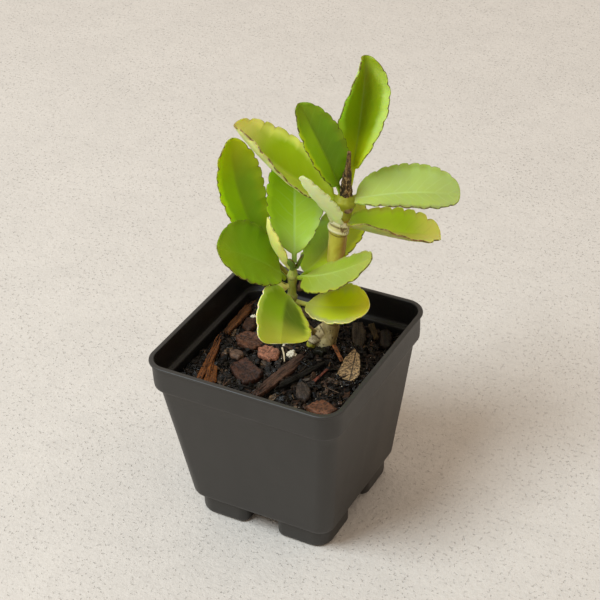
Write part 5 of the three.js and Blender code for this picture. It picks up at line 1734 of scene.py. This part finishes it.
class KALANCHOE_OT_stems(Operator):
    """Make the woody stem, its dried tip and knob, the green shoot and its bract"""

    bl_idname = "kalanchoe.stems"
    bl_label = "Stems"

    def execute(self, context):
        settings = context.scene.kalanchoe_stems
        wood, shoot = wood_material(settings), shoot_material(settings)
        dried, bract = dried_material(), speckled_material("withered_bract")
        stems = (
            ("woody_stem", MAIN_STEM, 56, 0.5, stem_shape, wood, "woody_stem", ["main_stem"]),
            ("stem_knob", BASE_BUD, 40, 0.3, knob_shape, knob_material(), "woody_stem", []),
            ("leaf_stub", LEAF_STUB, 32, 0.3, stub_shape, stub_material(), "woody_stem", []),
            ("dried_tip", DRIED_TIP, 48, 0.3, dried_shape, dried, "dried_stem", ["dried_stem_tip"]),
            ("green_shoot", SIDE_SHOOT, 36, 0.4, shoot_shape, shoot, "green_stem", ["side_shoot"]),
            ("brown_bract", BRACT, 20, 0.25, knob_shape, bract, "withered_bract", ["withered_bract"]),
        )
        for name, path, sides, step, shape, material, slot, nodes in stems:
            settle(link(name, make_stem(name, path, sides, step, shape)), slot, material, *nodes)
        return {"FINISHED"}


class KALANCHOE_OT_leaves(Operator):
    """Make the leaves"""

    bl_idname = "kalanchoe.leaves"
    bl_label = "Leaves"

    def execute(self, context):
        for leaf in LEAVES:
            name, material = leaf["name"], leaf_material(leaf, context.scene.kalanchoe_leaves)
            settle(link("fine_" + name, make_leaf(leaf)), leaf["tone"] + "_leaf", material, name)
        return {"FINISHED"}


class KALANCHOE_OT_stage(Operator):
    """Make the floor, the light and the camera"""

    bl_idname = "kalanchoe.stage"
    bl_label = "Stage"

    AZIMUTH, ELEVATION, ROLL = 29.67, 34.03, -2.53  # of the camera, in degrees
    AIM = (0, 0, 82)
    ASIDE, RAISED = 6.42, 24.83  # how far the camera stands right of and above the line to its aim
    FLOOR_REACH = 6.0
    KEY_TURN, KEY_HEIGHT = 25, 56  # of the key light from the picture's left and from the floor, in degrees
    KEY_DISTANCE, KEY_SIZE, KEY_COLOUR = 2.4, 1.3, (0.86, 1, 1.1)
    SKY_COLOUR = (1, 0.86, 0.73, 1)

    def execute(self, context):
        scene = context.scene
        settings = scene.kalanchoe_stage
        azimuth, elevation, roll = (math.radians(a) for a in (self.AZIMUTH, self.ELEVATION, self.ROLL))
        right = Vector((math.cos(azimuth), math.sin(azimuth), 0))
        level_back = math.cos(elevation)
        back = Vector((math.sin(azimuth) * level_back, -math.cos(azimuth) * level_back, math.sin(elevation)))
        up = back.cross(right)
        place = Vector(self.AIM) + back * settings.distance * 1000 + right * self.ASIDE + up * self.RAISED
        turned_right = right * math.cos(roll) + up * math.sin(roll)
        turned_up = up * math.cos(roll) - right * math.sin(roll)
        data = bpy.data.cameras.new("camera")
        data.lens, data.sensor_width, data.clip_start, data.clip_end = settings.lens, 36, 0.01, 50
        camera = link("camera", data)
        turn = Matrix((turned_right, turned_up, back)).transposed()
        camera.matrix_world = Matrix.Translation(shifted(place).tolist()) @ turn.to_4x4()
        scene.camera = camera

        mesh = bpy.data.meshes.new("floor")
        corners = [(x * self.FLOOR_REACH, y * self.FLOOR_REACH, 0) for x, y in FEET]
        mesh.from_pydata(corners, [], [(0, 1, 2, 3)])
        mesh.materials.append(floor_material(settings))
        link("floor", mesh)

        away = Vector((-right.y, right.x, 0))
        aside, height = math.radians(self.KEY_TURN), math.radians(self.KEY_HEIGHT)
        towards = -(right * math.cos(aside) + away * math.sin(aside))
        key_from = towards * math.cos(height) + Vector((0, 0, math.sin(height)))
        lamp = bpy.data.lights.new("key", "AREA")
        lamp.shape, lamp.size = "DISK", self.KEY_SIZE
        lamp.energy, lamp.color = settings.key_power, self.KEY_COLOUR
        key = link("key", lamp)
        key.location = key_from * self.KEY_DISTANCE
        key.rotation_euler = key_from.to_track_quat("Z", "Y").to_euler()

        world = bpy.data.worlds.new("studio")
        world.use_nodes = True
        background = world.node_tree.nodes["Background"]
        background.inputs["Color"].default_value = self.SKY_COLOUR
        background.inputs["Strength"].default_value = settings.fill
        scene.world = world
        scene.view_settings.view_transform = "Standard"
        return {"FINISHED"}


class KALANCHOE_PT_panel(Panel):
    """Lists the pieces of the potted kalanchoe"""

    bl_label = "Potted kalanchoe"
    bl_idname = "KALANCHOE_PT_panel"
    bl_space_type = "VIEW_3D"
    bl_region_type = "UI"
    bl_category = "Kalanchoe"

    def draw(self, context):
        for operator in OPERATORS:
            self.layout.operator(operator.bl_idname)
        for name, settings in SETTINGS.items():
            box = self.layout.box()
            for key in settings.__annotations__:
                box.prop(getattr(context.scene, name), key)


SETTINGS = {
    "kalanchoe_pot": PotSettings,
    "kalanchoe_mix": MixSettings,
    "kalanchoe_stems": StemSettings,
    "kalanchoe_leaves": LeafSettings,
    "kalanchoe_stage": StageSettings,
}
OPERATORS = (
    KALANCHOE_OT_pot, KALANCHOE_OT_mix, KALANCHOE_OT_bark, KALANCHOE_OT_scraps,
    KALANCHOE_OT_stems, KALANCHOE_OT_leaves, KALANCHOE_OT_stage,
)


def register():
    for cls in (*SETTINGS.values(), *OPERATORS, KALANCHOE_PT_panel):
        bpy.utils.register_class(cls)
    for name, settings in SETTINGS.items():
        setattr(bpy.types.Scene, name, PointerProperty(type=settings))


def unregister():
    for name in SETTINGS:
        delattr(bpy.types.Scene, name)
    for cls in (KALANCHOE_PT_panel, *reversed(OPERATORS), *SETTINGS.values()):
        bpy.utils.unregister_class(cls)


def main():
    register()
    bpy.ops.kalanchoe.pot()
    bpy.ops.kalanchoe.mix()
    bpy.ops.kalanchoe.bark()
    bpy.ops.kalanchoe.scraps()
    bpy.ops.kalanchoe.stems()
    bpy.ops.kalanchoe.leaves()
    bpy.ops.kalanchoe.stage()


if __name__ == "__main__":
    main()
